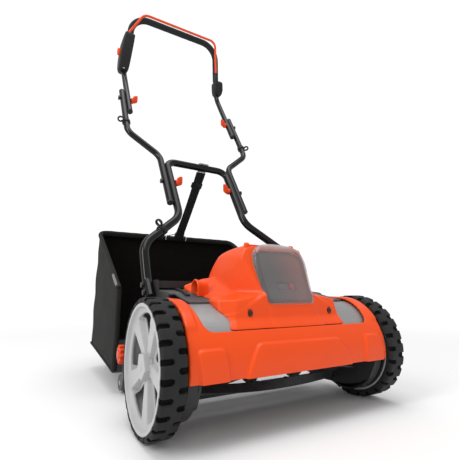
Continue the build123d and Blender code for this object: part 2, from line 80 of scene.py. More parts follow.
def plastic(name, base, var=0.06, vscale=60.0, rough=0.4, rvar=0.08, metal=0.0, spec=0.4,
            coat=0.0, coat_rough=0.15, grain=0.0, gscale=900.0, ripple=0.0, rscale=12.0,
            sheen=0.0, weave=None, brushed=None, edge=0.0, aniso=0.0):
    """Principled shader with colour variation, roughness variation and layered bump."""
    m = bpy.data.materials.new(name)
    m.use_nodes = True
    nt = m.node_tree
    nt.nodes.clear()
    out = nnode(nt, "ShaderNodeOutputMaterial")
    b = nnode(nt, "ShaderNodeBsdfPrincipled")
    nt.links.new(b.outputs[0], out.inputs[0])
    b.inputs["Metallic"].default_value = metal
    b.inputs["Specular IOR Level"].default_value = spec
    b.inputs["Coat Weight"].default_value = coat
    b.inputs["Coat Roughness"].default_value = coat_rough
    b.inputs["Sheen Weight"].default_value = sheen
    b.inputs["Anisotropic"].default_value = aniso
    co = nnode(nt, "ShaderNodeTexCoord")
    n1 = nnode(nt, "ShaderNodeTexNoise")
    n1.inputs["Scale"].default_value = vscale
    n1.inputs["Detail"].default_value = 5.0
    nt.links.new(co.outputs["Object"], n1.inputs["Vector"])
    ramp = nnode(nt, "ShaderNodeValToRGB")
    ramp.color_ramp.elements[0].position = 0.3
    ramp.color_ramp.elements[1].position = 0.7
    ramp.color_ramp.elements[0].color = [c * (1 - var) for c in base] + [1]
    ramp.color_ramp.elements[1].color = [min(1, c * (1 + var)) for c in base] + [1]
    nt.links.new(n1.outputs["Fac"], ramp.inputs["Fac"])
    colour = ramp.outputs["Color"]
    if edge > 0:                                    # painted highlight: convex edges lightened by pointiness
        geo = nnode(nt, "ShaderNodeNewGeometry")
        edge_highlight_ramp = nnode(nt, "ShaderNodeValToRGB")
        edge_highlight_ramp.color_ramp.elements[0].position = 0.52
        edge_highlight_ramp.color_ramp.elements[1].position = 0.62
        edge_highlight_ramp.color_ramp.elements[0].color = (0, 0, 0, 1)
        edge_highlight_ramp.color_ramp.elements[1].color = (edge, edge, edge, 1)
        nt.links.new(geo.outputs["Pointiness"], edge_highlight_ramp.inputs["Fac"])
        mx = nnode(nt, "ShaderNodeMix", data_type="RGBA", blend_type="MIX")
        nt.links.new(edge_highlight_ramp.outputs["Color"], mx.inputs[0])
        nt.links.new(colour, mx.inputs[6])
        mx.inputs[7].default_value = [min(1, c * 1.6 + 0.04) for c in base] + [1]
        colour = mx.outputs[2]
    height = None

    def add(sock, strength):
        nonlocal height
        mul = nnode(nt, "ShaderNodeMath", operation="MULTIPLY")
        nt.links.new(sock, mul.inputs[0])
        mul.inputs[1].default_value = strength
        if height is None:
            height = mul.outputs[0]
        else:
            s = nnode(nt, "ShaderNodeMath", operation="ADD")
            nt.links.new(height, s.inputs[0])
            nt.links.new(mul.outputs[0], s.inputs[1])
            height = s.outputs[0]

    if grain > 0:
        g = nnode(nt, "ShaderNodeTexNoise")
        g.inputs["Scale"].default_value = gscale
        g.inputs["Detail"].default_value = 3.0
        nt.links.new(co.outputs["Object"], g.inputs["Vector"])
        add(g.outputs["Fac"], grain)
    if ripple > 0:
        g = nnode(nt, "ShaderNodeTexNoise")
        g.inputs["Scale"].default_value = rscale
        g.inputs["Detail"].default_value = 1.0
        nt.links.new(co.outputs["Object"], g.inputs["Vector"])
        add(g.outputs["Fac"], ripple)
    if brushed:
        mp = nnode(nt, "ShaderNodeMapping")
        mp.inputs["Scale"].default_value = brushed[0]
        nt.links.new(co.outputs["Object"], mp.inputs["Vector"])
        g = nnode(nt, "ShaderNodeTexNoise")
        g.inputs["Scale"].default_value = 1.0
        g.inputs["Detail"].default_value = 2.0
        nt.links.new(mp.outputs[0], g.inputs["Vector"])
        add(g.outputs["Fac"], brushed[1])
    if weave:
        pitch, depth, mode = weave
        waves = []
        dirs = (("X", "Z"), ("Y", "Z")) if mode == "cloth" else (("DIAGONAL", "X"), ("DIAGONAL", "X"))
        sep = nnode(nt, "ShaderNodeSeparateXYZ")
        nt.links.new(co.outputs["Object"], sep.inputs[0])
        if mode == "cloth":                          # threads along the wall and up it
            xy = nnode(nt, "ShaderNodeMath", operation="ADD")
            nt.links.new(sep.outputs["X"], xy.inputs[0])
            nt.links.new(sep.outputs["Y"], xy.inputs[1])
            chans = [xy.outputs[0], sep.outputs["Z"]]
        else:
            a1 = nnode(nt, "ShaderNodeMath", operation="ADD")
            nt.links.new(sep.outputs["X"], a1.inputs[0])
            nt.links.new(sep.outputs["Z"], a1.inputs[1])
            a2 = nnode(nt, "ShaderNodeMath", operation="SUBTRACT")
            nt.links.new(sep.outputs["X"], a2.inputs[0])
            nt.links.new(sep.outputs["Z"], a2.inputs[1])
            chans = [a1.outputs[0], a2.outputs[0]]
        for s in chans:
            ml = nnode(nt, "ShaderNodeMath", operation="MULTIPLY")
            nt.links.new(s, ml.inputs[0])
            ml.inputs[1].default_value = 2 * math.pi / pitch
            sn = nnode(nt, "ShaderNodeMath", operation="SINE")
            nt.links.new(ml.outputs[0], sn.inputs[0])
            waves.append(sn.outputs[0])
        pr = nnode(nt, "ShaderNodeMath", operation="MULTIPLY")
        nt.links.new(waves[0], pr.inputs[0])
        nt.links.new(waves[1], pr.inputs[1])
        add(pr.outputs[0], depth)
        # threads catch the light a little unevenly
        mr = nnode(nt, "ShaderNodeMapRange")
        mr.inputs["From Min"].default_value = -1
        mr.inputs["To Min"].default_value = 0.0
        mr.inputs["To Max"].default_value = 1.0
        nt.links.new(pr.outputs[0], mr.inputs["Value"])
        mx = nnode(nt, "ShaderNodeMix", data_type="RGBA", blend_type="MIX")
        nt.links.new(mr.outputs[0], mx.inputs[0])
        nt.links.new(colour, mx.inputs[6])
        mx.inputs[7].default_value = [min(1, c * 1.35) for c in base] + [1]
        colour = mx.outputs[2]
    nt.links.new(colour, b.inputs["Base Color"])
    if rvar > 0:
        n2 = nnode(nt, "ShaderNodeTexNoise")
        n2.inputs["Scale"].default_value = vscale * 2.3
        n2.inputs["Detail"].default_value = 4.0
        nt.links.new(co.outputs["Object"], n2.inputs["Vector"])
        mr = nnode(nt, "ShaderNodeMapRange")
        mr.inputs["To Min"].default_value = max(0.02, rough - rvar)
        mr.inputs["To Max"].default_value = min(1.0, rough + rvar)
        nt.links.new(n2.outputs["Fac"], mr.inputs["Value"])
        nt.links.new(mr.outputs[0], b.inputs["Roughness"])
    else:
        b.inputs["Roughness"].default_value = rough
    if height is not None:
        bp = nnode(nt, "ShaderNodeBump")
        bp.inputs["Strength"].default_value = 1.0
        bp.inputs["Distance"].default_value = 0.001
        nt.links.new(height, bp.inputs["Height"])
        nt.links.new(bp.outputs[0], b.inputs["Normal"])
    MATS[name] = m
    return m


plastic("orange_shell", (0.86, 0.074, 0.004), var=0.02, vscale=18, rough=0.30, rvar=0.05, spec=0.30,
        grain=0.05, gscale=1500, ripple=0.10, rscale=9, edge=0.12)
plastic("orange_steel", (0.74, 0.060, 0.006), var=0.03, vscale=80, rough=0.33, rvar=0.06, spec=0.35,
        grain=0.10, gscale=1800)
plastic("orange_lever", (0.72, 0.052, 0.002), var=0.04, vscale=120, rough=0.36, rvar=0.06, spec=0.3,
        grain=0.10, gscale=1600, edge=0.3)
plastic("black_plastic", (0.012, 0.012, 0.0125), var=0.12, vscale=90, rough=0.46, rvar=0.08, spec=0.25,
        grain=0.35, gscale=1300, edge=0.5)
plastic("dark_plastic", (0.050, 0.051, 0.054), var=0.10, vscale=60, rough=0.48, rvar=0.08, spec=0.3,
        grain=0.35, gscale=1300, edge=0.4)
plastic("silver_plastic", (0.46, 0.46, 0.465), var=0.03, vscale=40, rough=0.38, rvar=0.05, spec=0.4,
        coat=0.0, grain=0.12, gscale=1700, edge=0.3)
plastic("silver_guard", (0.36, 0.36, 0.365), var=0.04, vscale=50, rough=0.34, rvar=0.06, metal=0.65, spec=0.5,
        brushed=((30, 1500, 1500), 0.18), aniso=0.3)
plastic("tyre", (0.020, 0.0205, 0.0205), var=0.14, vscale=45, rough=0.62, rvar=0.10, spec=0.18,
        grain=0.45, gscale=1100, ripple=0.10, rscale=60, edge=0.35)
# near-black rubber for the tread slots: painted shade in the grooves
plastic("tyre_groove_shade", (0.006, 0.006, 0.006), var=0.14, vscale=45, rough=0.8, rvar=0.05, spec=0.08,
        grain=0.3, gscale=1100)
plastic("black_tube", (0.003, 0.003, 0.0033), var=0.12, vscale=70, rough=0.30, rvar=0.04, spec=0.02,
        coat=0.55, coat_rough=0.06, grain=0.05, gscale=1400)
plastic("black_steel", (0.014, 0.014, 0.015), var=0.12, vscale=60, rough=0.42, rvar=0.08, spec=0.28,
        grain=0.20, gscale=1200, edge=0.4)
plastic("steel", (0.50, 0.50, 0.51), var=0.06, vscale=120, rough=0.30, rvar=0.10, metal=1.0, spec=0.5,
        brushed=((60, 1800, 1800), 0.15))
plastic("blade_steel", (0.030, 0.030, 0.033), var=0.15, vscale=80, rough=0.38, rvar=0.10, metal=0.3, spec=0.5,
        brushed=((60, 1200, 1200), 0.2), edge=0.6)
plastic("battery_grey", (0.150, 0.152, 0.158), var=0.05, vscale=60, rough=0.5, rvar=0.06, spec=0.4,
        grain=0.35, gscale=1300, edge=0.3)
plastic("foam", (0.020, 0.023, 0.023), var=0.2, vscale=260, rough=0.86, rvar=0.06, spec=0.25,
        grain=0.9, gscale=700, ripple=0.25, rscale=60)
plastic("belt_rubber", (0.018, 0.018, 0.018), var=0.1, vscale=90, rough=0.7, rvar=0.08, spec=0.3,
        grain=0.4, gscale=900)
plastic("bag_fabric", (0.022, 0.0212, 0.0205), var=0.10, vscale=22, rough=0.82, rvar=0.08, spec=0.12,
        sheen=0.03, weave=(0.0016, 0.45, "cloth"), ripple=0.5, rscale=14)
# darker inner face of the bag fabric: painted shade inside the bag
plastic("bag_inner_shade", (0.0055, 0.0045, 0.004), var=0.10, vscale=22, rough=0.76, rvar=0.08, spec=0.10,
        weave=(0.0016, 0.35, "cloth"), ripple=0.4, rscale=14)
plastic("webbing", (0.014, 0.014, 0.015), var=0.12, vscale=60, rough=0.85, rvar=0.06, spec=0.15,
        sheen=0.03, weave=(0.0034, 0.9, "diag"))
plastic("seam_thread", (0.075, 0.073, 0.070), var=0.1, vscale=300, rough=0.8, rvar=0.05, spec=0.2,
        grain=0.3, gscale=2500)
plastic("trim_grey", (0.17, 0.17, 0.17), var=0.06, vscale=90, rough=0.45, rvar=0.06, spec=0.45,
        grain=0.15, gscale=1500)
# near-black for the plate inside the cable hood: painted shade
plastic("hood_hollow_shade", (0.010, 0.009, 0.009), var=0.1, vscale=90, rough=0.7, rvar=0.05, spec=0.2,
        grain=0.2, gscale=1200)


def two_tone(name, c1, c2, x0, x1, rough):
    """Case front whose tint drifts across its width."""
    m = plastic(name, c1, var=0.04, vscale=50, rough=rough, rvar=0.05, spec=0.4, grain=0.25, gscale=1300)
    nt = m.node_tree
    b = [n for n in nt.nodes if n.type == "BSDF_PRINCIPLED"][0]
    old = b.inputs["Base Color"].links[0].from_socket
    co = [n for n in nt.nodes if n.type == "TEX_COORD"][0]
    sep = nnode(nt, "ShaderNodeSeparateXYZ")
    nt.links.new(co.outputs["Object"], sep.inputs[0])
    mr = nnode(nt, "ShaderNodeMapRange", interpolation_type="SMOOTHSTEP")
    mr.inputs["From Min"].default_value = x0
    mr.inputs["From Max"].default_value = x1
    nt.links.new(sep.outputs["X"], mr.inputs["Value"])
    mx = nnode(nt, "ShaderNodeMix", data_type="RGBA", blend_type="MIX")
    nt.links.new(mr.outputs[0], mx.inputs[0])
    nt.links.new(old, mx.inputs[6])
    mx.inputs[7].default_value = list(c2) + [1]
    nt.links.new(mx.outputs[2], b.inputs["Base Color"])


two_tone("battery_front", (0.085, 0.087, 0.092), (0.46, 0.10, 0.06), -0.028, 0.056, 0.42)


def smoked():
    """Smoky clear plastic: part see-through, tinted, with a glossy coat."""
    m = bpy.data.materials.new("smoked_lid")
    m.use_nodes = True
    nt = m.node_tree
    b = nt.nodes["Principled BSDF"]
    b.inputs["Specular IOR Level"].default_value = 0.5
    b.inputs["Coat Weight"].default_value = 0.9
    b.inputs["Coat Roughness"].default_value = 0.04
    lw = nnode(nt, "ShaderNodeLayerWeight")
    lw.inputs["Blend"].default_value = 0.42
    ar = nnode(nt, "ShaderNodeMapRange")
    ar.inputs["From Min"].default_value = 0.12
    ar.inputs["From Max"].default_value = 0.75
    ar.inputs["To Min"].default_value = 0.20
    ar.inputs["To Max"].default_value = 0.80
    nt.links.new(lw.outputs["Facing"], ar.inputs["Value"])
    nt.links.new(ar.outputs[0], b.inputs["Alpha"])
    co = nnode(nt, "ShaderNodeTexCoord")
    n1 = nnode(nt, "ShaderNodeTexNoise")
    n1.inputs["Scale"].default_value = 9.0
    nt.links.new(co.outputs["Object"], n1.inputs["Vector"])
    ramp = nnode(nt, "ShaderNodeValToRGB")
    ramp.color_ramp.elements[0].color = (0.24, 0.22, 0.22, 1)
    ramp.color_ramp.elements[1].color = (0.30, 0.27, 0.27, 1)
    nt.links.new(n1.outputs["Fac"], ramp.inputs["Fac"])
    # grazing angles turn the tint pale pinkish: a painted sheen along the lid's rim
    rim_sheen_facing = nnode(nt, "ShaderNodeLayerWeight")
    rim_sheen_facing.inputs["Blend"].default_value = 0.42
    rim_sheen_mask = nnode(nt, "ShaderNodeMapRange")
    rim_sheen_mask.inputs["From Min"].default_value = 0.30
    rim_sheen_mask.inputs["From Max"].default_value = 0.75
    nt.links.new(rim_sheen_facing.outputs["Facing"], rim_sheen_mask.inputs["Value"])
    mx = nnode(nt, "ShaderNodeMix", data_type="RGBA", blend_type="MIX")
    nt.links.new(rim_sheen_mask.outputs[0], mx.inputs[0])
    nt.links.new(ramp.outputs["Color"], mx.inputs[6])
    mx.inputs[7].default_value = [0.58, 0.48, 0.46, 1]
    nt.links.new(mx.outputs[2], b.inputs["Base Color"])
    n2 = nnode(nt, "ShaderNodeTexNoise")
    n2.inputs["Scale"].default_value = 500.0
    nt.links.new(co.outputs["Object"], n2.inputs["Vector"])
    mr = nnode(nt, "ShaderNodeMapRange")
    mr.inputs["To Min"].default_value = 0.10
    mr.inputs["To Max"].default_value = 0.20
    nt.links.new(n2.outputs["Fac"], mr.inputs["Value"])
    nt.links.new(mr.outputs[0], b.inputs["Roughness"])
    MATS["smoked_lid"] = m


smoked()

# CAD nodes that stay take the finish of their slot
for sp in frame["record"]["subparts"]:
    o = NODES.get(sp["node"])
    if o is not None:
        o.data.materials.clear()
        o.data.materials.append(MATS[sp["material_slot"]])


# ---------------------------------------------------------------- mesh tools
def sm(x, a, b):
    t = np.clip((x - a) / (b - a), 0, 1)
    return t * t * (3 - 2 * t)


def smin(a, b, k):
    h = np.clip(0.5 + 0.5 * (b - a) / k, 0, 1)
    return b * (1 - h) + a * h - k * h * (1 - h)


def smax(a, b, k):
    return -smin(-a, -b, k)


def piece(name, verts, faces, mat, body, replaces=(), smooth=35, solid=0.0, offset=-1.0,
          outward=None, mats=None, face_mats=None, bevel=0.0, subsurf=0):
    me = bpy.data.meshes.new(name)
    me.from_pydata([tuple(v) for v in P(verts)], [], [tuple(int(i) for i in f) for f in faces])
    me.update()
    o = bpy.data.objects.new(name, me)
    bpy.context.scene.collection.objects.link(o)
    for m in (mats or [mat]):
        me.materials.append(MATS[m])
    if face_mats is not None:
        me.polygons.foreach_set("material_index", np.asarray(face_mats, np.int32))
    if outward is not None:
        c = P(outward)
        nn = np.array([p.normal for p in me.polygons])
        cc = np.array([p.center for p in me.polygons])
        if ((nn * (cc - c)).sum(1)).sum() < 0:
            me.flip_normals()
    me.polygons.foreach_set("use_smooth", [True] * len(me.polygons))
    if smooth < 180:
        me.set_sharp_from_angle(angle=math.radians(smooth))
    if subsurf:
        s = o.modifiers.new("sub", "SUBSURF")
        s.levels = s.render_levels = subsurf
    if solid:
        s = o.modifiers.new("wall", "SOLIDIFY")
        s.thickness = solid / 1000.0
        s.offset = offset
        s.use_rim = True
        s.use_even_offset = False
    if bevel:
        s = o.modifiers.new("edge", "BEVEL")
        s.width = bevel / 1000.0
        s.segments = 3
        s.limit_method = "ANGLE"
        s.angle_limit = math.radians(30)
    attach(o, body)
    if replaces:
        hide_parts(*replaces)
    return o


def grid_faces(nu, nv, wrap_u=False, wrap_v=False):
    iu = np.arange(nu if wrap_u else nu - 1)
    iv = np.arange(nv if wrap_v else nv - 1)
    I, J = np.meshgrid(iu, iv, indexing="ij")
    I2, J2 = (I + 1) % nu, (J + 1) % nv
    return np.stack([I * nv + J, I2 * nv + J, I2 * nv + J2, I * nv + J2], -1).reshape(-1, 4)


def field(us, vs, pos, sd=None, wrap_v=False):
    """Quad surface over a grid. Cells where sd is above 0 go, and the cut edge is moved on to sd = 0."""
    U, V = np.meshgrid(us, vs, indexing="ij")
    nu, nv = U.shape
    F = grid_faces(nu, nv, False, wrap_v)
    if sd is not None:
        S = sd(U.ravel(), V.ravel())
        keep = S[F].mean(1) < 0
        kv = np.zeros(nu * nv, bool)
        rv = np.zeros(nu * nv, bool)
        kv[F[keep].ravel()] = True
        rv[F[~keep].ravel()] = True
        bd = kv & rv
        du, dv = us[1] - us[0], vs[1] - vs[0]
        u, v = U.ravel().copy(), V.ravel().copy()
        ub, vb = u[bd].copy(), v[bd].copy()
        u0, v0 = ub.copy(), vb.copy()
        for _ in range(4):
            s = sd(ub, vb)
            gu = (sd(ub + du * 0.2, vb) - sd(ub - du * 0.2, vb)) / 0.4
            gv = (sd(ub, vb + dv * 0.2) - sd(ub, vb - dv * 0.2)) / 0.4
            g2 = gu * gu + gv * gv + 1e-9
            ub = ub - np.clip(s * gu / g2, -0.5, 0.5) * du
            vb = vb - np.clip(s * gv / g2, -0.5, 0.5) * dv
            ub = np.clip(ub, u0 - 0.95 * du, u0 + 0.95 * du)
            vb = np.clip(vb, v0 - 0.95 * dv, v0 + 0.95 * dv)
        u[bd], v[bd] = ub, vb
        F = F[keep]
        X = pos(u, v)
    else:
        X = pos(U.ravel(), V.ravel())
    used = np.unique(F)
    idx = -np.ones(nu * nv, int)
    idx[used] = np.arange(len(used))
    return X[used], idx[F]


def lathe(profile, y0, z0, n=96):
    """Revolve an (x, r) outline about an X axis; a closed outline."""
    pr = np.array(profile, float)
    m = len(pr)
    a = np.linspace(0, 2 * np.pi, n, endpoint=False)
    X = np.zeros((n, m, 3))
    X[:, :, 0] = pr[:, 0][None]
    X[:, :, 1] = y0 + np.cos(a)[:, None] * pr[:, 1][None]
    X[:, :, 2] = z0 + np.sin(a)[:, None] * pr[:, 1][None]
    return X.reshape(-1, 3), grid_faces(n, m, True, True)


def joined(*parts):
    V, F, off = [], [], 0
    for v, f in parts:
        V.append(np.asarray(v, float))
        F += [tuple(int(i) + off for i in q) for q in f]
        off += len(v)
    return np.vstack(V), F


def fillet_path(pts, radii, step=4.0):
    pts = [np.array(p, float) for p in pts]
    out = [pts[0]]
    for i in range(1, len(pts) - 1):
        a, b, c = pts[i - 1], pts[i], pts[i + 1]
        r = radii[i - 1]
        d1 = (a - b) / np.linalg.norm(a - b)
        d2 = (c - b) / np.linalg.norm(c - b)
        ang = math.acos(np.clip(d1 @ d2, -1, 1))
        if ang > math.pi - 0.01:
            out.append(b)
            continue
        t = r / math.tan(ang / 2)
        p1, p2 = b + d1 * t, b + d2 * t
        cen = b + (d1 + d2) / np.linalg.norm(d1 + d2) * (r / math.sin(ang / 2))
        sweep_a = math.pi - ang
        n = max(4, int(sweep_a * r / step))
        e1 = (p1 - cen) / r
        e2 = p2 - cen
        e2 = e2 - e1 * (e2 @ e1)
        e2 /= np.linalg.norm(e2)
        for k in range(n + 1):
            th = sweep_a * k / n
            out.append(cen + r * (e1 * math.cos(th) + e2 * math.sin(th)))
    out.append(pts[-1])
    return np.array(out)


def dense(path, step=6.0):
    out = [path[0]]
    for a, b in zip(path[:-1], path[1:]):
        n = max(1, int(np.linalg.norm(b - a) / step))
        for k in range(1, n + 1):
            out.append(a + (b - a) * k / n)
    return np.array(out)


def tube(path, section, caps=True, up=None):
    """Sweep a section along a path. section(i, s) gives (n, 2) offsets or a radius."""
    path = np.asarray(path, float)
    m = len(path)
    T = np.gradient(path, axis=0)
    T /= np.linalg.norm(T, axis=1)[:, None]
    ref = np.array(up if up is not None else (0, 0, 1.0))
    if abs(ref @ T[0]) > 0.9 and up is None:
        ref = np.array((1.0, 0, 0))
    n0 = ref - T[0] * (ref @ T[0])
    n0 /= np.linalg.norm(n0)
    rows = []
    s = np.concatenate([[0], np.cumsum(np.linalg.norm(np.diff(path, axis=0), axis=1))])
    for i in range(m):
        n0 = n0 - T[i] * (n0 @ T[i])
        n0 /= np.linalg.norm(n0)
        bvec = np.cross(T[i], n0)
        q = section(i, s[i] / s[-1])
        if np.isscalar(q):
            a = np.linspace(0, 2 * np.pi, 28, endpoint=False)
            q = np.stack([q * np.cos(a), q * np.sin(a)], 1)
        rows.append(path[i] + q[:, :1] * n0 + q[:, 1:] * bvec)
    k = len(rows[0])
    V = np.vstack(rows)
    F = [tuple(f) for f in grid_faces(m, k, False, True)]
    if caps:
        F.append(tuple(range(k - 1, -1, -1)))
        F.append(tuple(range((m - 1) * k, m * k)))
    return V, F


def loft(sections, closed_ends=True):
    k = len(sections[0])
    V = np.vstack(sections)
    F = [tuple(f) for f in grid_faces(len(sections), k, False, True)]
    if closed_ends:
        F.append(tuple(range(k - 1, -1, -1)))
        F.append(tuple(range((len(sections) - 1) * k, len(sections) * k)))
    return V, F


def super_sec(c, e1, e2, a, b, p=4.0, n=48):
    """Rounded-rectangle section about c in the plane of e1, e2."""
    t = np.linspace(0, 2 * np.pi, n, endpoint=False)
    x = np.sign(np.cos(t)) * np.abs(np.cos(t)) ** (2 / p) * a
    y = np.sign(np.sin(t)) * np.abs(np.sin(t)) ** (2 / p) * b
    return np.array(c) + x[:, None] * np.array(e1) + y[:, None] * np.array(e2)


def mirror_x(V):
    V = V.copy()
    V[:, 0] *= -1
    return V


AX = 104.0


# ---------------------------------------------------------------- wheels
def make_tyre(side, phase):
    W0, W1 = 211.0, 249.3
    us = np.arange(0, 41) / 40.0
    nseg = 560
    vs = np.linspace(0, 2 * np.pi, nseg, endpoint=False)
    N = 26
    pitch = 2 * np.pi / N

    def slot(x, v, x_open, x_tip, ph):
        """Distance into a rounded slot that opens at one edge."""
        c = (((v - ph) / pitch + 0.5) % 1.0 - 0.5) * pitch * 104.0
        hw = 4.3
        sgn = 1 if x_open > x_tip else -1
        along = (x_tip + sgn * hw - x) * sgn
        d = np.where(along > 0, np.hypot(np.maximum(along, 0), c) - hw, np.abs(c) - hw)
        return d

    def pos(u, v):
        x = W0 + (W1 - W0) * u
        e_out = W1 - x
        e_in = x - W0
        R = 104.0 - 3.6 * (1 - sm(e_out, 0, 4.2)) ** 2 - 3.6 * (1 - sm(e_in, 0, 4.2)) ** 2
        d1 = slot(x, v, 260.0, 249.3 - 18.5, 0.0)
        d2 = slot(x, v, 200.0, 211.0 + 14.0, pitch / 2)
        dep = 4.4 * (1 - sm(d1, -1.0, 0.1)) + 4.2 * (1 - sm(d2, -1.0, 0.1))
        R = R - dep
        return np.stack([x, AX * 0 + R * np.cos(v + phase), AX + R * np.sin(v + phase)], 1)

    V1, F1 = field(us, vs, pos, wrap_v=True)
    side_prof = [(249.3, 100.4), (249.2, 99.0), (248.6, 97.8), (247.9, 96.6), (247.3, 95.7), (243.5, 95.6), (243.0, 91.0),
                 (211.0, 91.0), (211.0, 100.4)]
    pr = np.array(side_prof)
    # side walls follow the notched edge of the tread
    n = nseg
    edge_out = V1.reshape(41, n, 3)[-1]
    edge_in = V1.reshape(41, n, 3)[0]
    rings = [edge_out]
    a = vs + phase
    for x, r in side_prof[1:-1]:
        rings.append(np.stack([np.full(n, x), r * np.cos(a), AX + r * np.sin(a)], 1))
    rings.append(edge_in)
    V2 = np.vstack(rings)
    F2 = grid_faces(len(rings), n, False, True)
    V, F = joined((V1, F1), (V2, F2))
    Ug, Vg = np.meshgrid(us, vs, indexing="ij")
    xg = W0 + (W1 - W0) * Ug.ravel()
    inn = np.minimum(slot(xg, Vg.ravel(), 260.0, 249.3 - 18.5, 0.0), slot(xg, Vg.ravel(), 200.0, 211.0 + 14.0, pitch / 2))
    # faces inside the slots take the near-black groove material: painted shade in the grooves
    fm = np.zeros(len(F), int)
    fm[:len(F1)] = inn[np.asarray(F1)].mean(1) < -0.1
    if side < 0:
        V = mirror_x(V)
        F = [tuple(reversed(f)) for f in F]
    o = piece("tyre_tread_" + ("left" if side < 0 else "right"), V, F, "tyre",
              "wheel_left" if side < 0 else "wheel_right", replaces=["tyre_left" if side < 0 else "tyre_right"],
              smooth=50, mats=["tyre", "tyre_groove_shade"], face_mats=fm)
    weld(o)
    return o


def weld(o, d=0.00002):
    m = o.modifiers.new("weld", "WELD")
    m.merge_threshold = d
    # weld goes first
    bpy.context.view_layer.objects.active = o
    i = o.modifiers.find("weld")
    if i > 0:
        o.modifiers.move(i, 0)


def make_rim(side):
    """Five broad faceted spokes between a hub boss and a lipped ring."""
    A0 = math.radians(62.0)

    def fold(y, z):
        """Angle from the nearest spoke centre, and radius."""
        r = np.hypot(y, z)
        t = np.arctan2(z, -y)                 # 0 = front, 90 deg = up
        w = 2 * math.pi / 5
        k = np.round((t - A0) / w)
        return r, t - A0 - k * w

    def parts(y, z):
        r, t = fold(y, z)
        b = np.abs(r * np.sin(t))             # sideways distance from the spoke's centre line
        a = r * np.cos(t)
        wf = 7.0 + (a - 22) * 0.115           # flat face half width
        ws = wf + 6.5 + np.clip(a - 22, 0, 60) * 0.02
        return r, t, a, b, wf, ws

    def height(y, z):
        r, t, a, b, wf, ws = parts(y, z)
        top = 238.6 + 0.055 * np.clip(r - 20, 0, 80)
        facet = top - 14.5 * np.clip((b - wf) / (ws - wf), 0, 1)
        ring = 240.8 + 2.6 * sm(r, 82, 90)
        ringwall = 231.0 + 12.0 * sm(r, 77.5, 81.5)
        body = smax(facet, np.minimum(ring, ringwall), 0.8)
        # pentagon hub boss
        pa = np.abs(t)
        pent = r * np.cos(pa - math.pi / 5) / math.cos(math.pi / 5)
        hub = 247.6 - 0.05 * r - 14.0 * sm(pent, 21.5, 24.0)
        body = smax(body, hub, 0.8)
        lip = np.where(r > 88.0, 243.8 + 5.3 * sm(r, 88.0, 90.3), -999)
        lip = np.where(r > 94.2, 249.1 - 0.9 * ((r - 94.2) / 1.2) ** 2, lip)
        return np.maximum(body, lip)

    def sd(u, v):
        y, z = -u * np.cos(v), u * np.sin(v)
        r, t, a, b, wf, ws = parts(y, z)
        hole = smax(smax(ws - b, r - 79.5, 5.0), 27.0 - r, 4.0)
        return -hole

    us = np.concatenate([np.linspace(0.3, 87.4, 88), np.linspace(88.2, 95.4, 14)])
    nseg = 480
    vs = np.linspace(0, 2 * np.pi, nseg, endpoint=False)

    def pos(u, v):
        y, z = -u * np.cos(v), u * np.sin(v)
        return np.stack([height(y, z), y, z + AX], 1)

    V1, F1 = field(us, vs, pos, sd, wrap_v=True)
    nm = "left" if side < 0 else "right"
    drum = lathe([(212.2, 87.5), (212.2, 90.8), (243.0, 90.8), (243.0, 95.5), (245.2, 95.5), (245.2, 93.5),
                  (240.0, 92.0), (238.5, 88.0)], 0, AX, 120)
    boss = lathe([(212.2, 6.1), (212.2, 16.0), (213.0, 20.0), (236.0, 20.0), (238.0, 17.0), (238.0, 6.1)], 0, AX, 64)
    cap = lathe([(244.0, 0.3), (244.0, 9.0), (247.2, 8.6), (248.0, 7.2), (248.0, 0.3)], 0, AX, 48)
    out = []
    body = "wheel_left" if side < 0 else "wheel_right"
    V = mirror_x(V1) if side < 0 else V1
    o = piece("rim_face_" + nm, V, F1, "silver_plastic", body, replaces=["rim_" + nm], smooth=22, solid=3.2,
              outward=(0, 0, AX))
    # the shell grows inwards from the visible face
    for nm2, (vv, ff), mt in (("rim_drum_", drum, "silver_plastic"), ("rim_boss_", boss, "silver_plastic"),
                              ("rim_cap_", cap, "silver_plastic")):
        vv = mirror_x(vv) if side < 0 else vv
        piece(nm2 + nm, vv, ff, mt, body, smooth=30,
              outward=None)
    # ribbed dust disc on the inner side
    prof = [(214.0, 20.3)]
    for r0 in (34, 50, 66):
        prof += [(214.0, r0 - 1.5), (212.6, r0), (214.0, r0 + 1.5)]
    prof += [(214.0, 78.0), (211.6, 80.0), (211.6, 85.0), (213.0, 86.6), (215.6, 86.6), (215.6, 20.3)]
    vv, ff = lathe(prof, 0, AX, 120)
    vv = mirror_x(vv) if side < 0 else vv
    piece("dust_disc_" + nm, vv, ff, "black_plastic", body, replaces=["wheel_cover_" + nm], smooth=30)


for s, ph in ((-1, math.radians(2.0)), (1, math.radians(5.0))):
    make_tyre(s, ph)
    make_rim(s)


# ---------------------------------------------------------------- front shroud
tt = np.radians(np.linspace(188.2, 90.0, 300))
prof = np.stack([95 * np.cos(tt), 104 + 99 * np.sin(tt)], 1)
prof = np.vstack([prof, np.stack([np.linspace(0.5, 50, 60), np.linspace(203.0, 204.0, 60)], 1)])
S_ARC = np.concatenate([[0], np.cumsum(np.linalg.norm(np.diff(prof, axis=0), axis=1))])
tg = np.gradient(prof, axis=0)
tg /= np.linalg.norm(tg, axis=1)[:, None]
nrm = np.stack([-tg[:, 1], tg[:, 0]], 1)
if nrm[0, 0] > 0:
    nrm = -nrm


def shroud_at(s):
    return (np.interp(s, S_ARC, prof[:, 0]), np.interp(s, S_ARC, prof[:, 1]),
            np.interp(s, S_ARC, nrm[:, 0]), np.interp(s, S_ARC, nrm[:, 1]))


def halfplanes(x, z, planes, k):
    d = None
    for (px, pz), (nx, nz) in planes:
        n = math.hypot(nx, nz)
        e = ((x - px) * nx + (z - pz) * nz) / n
        d = e if d is None else smax(d, e, k)
    return d


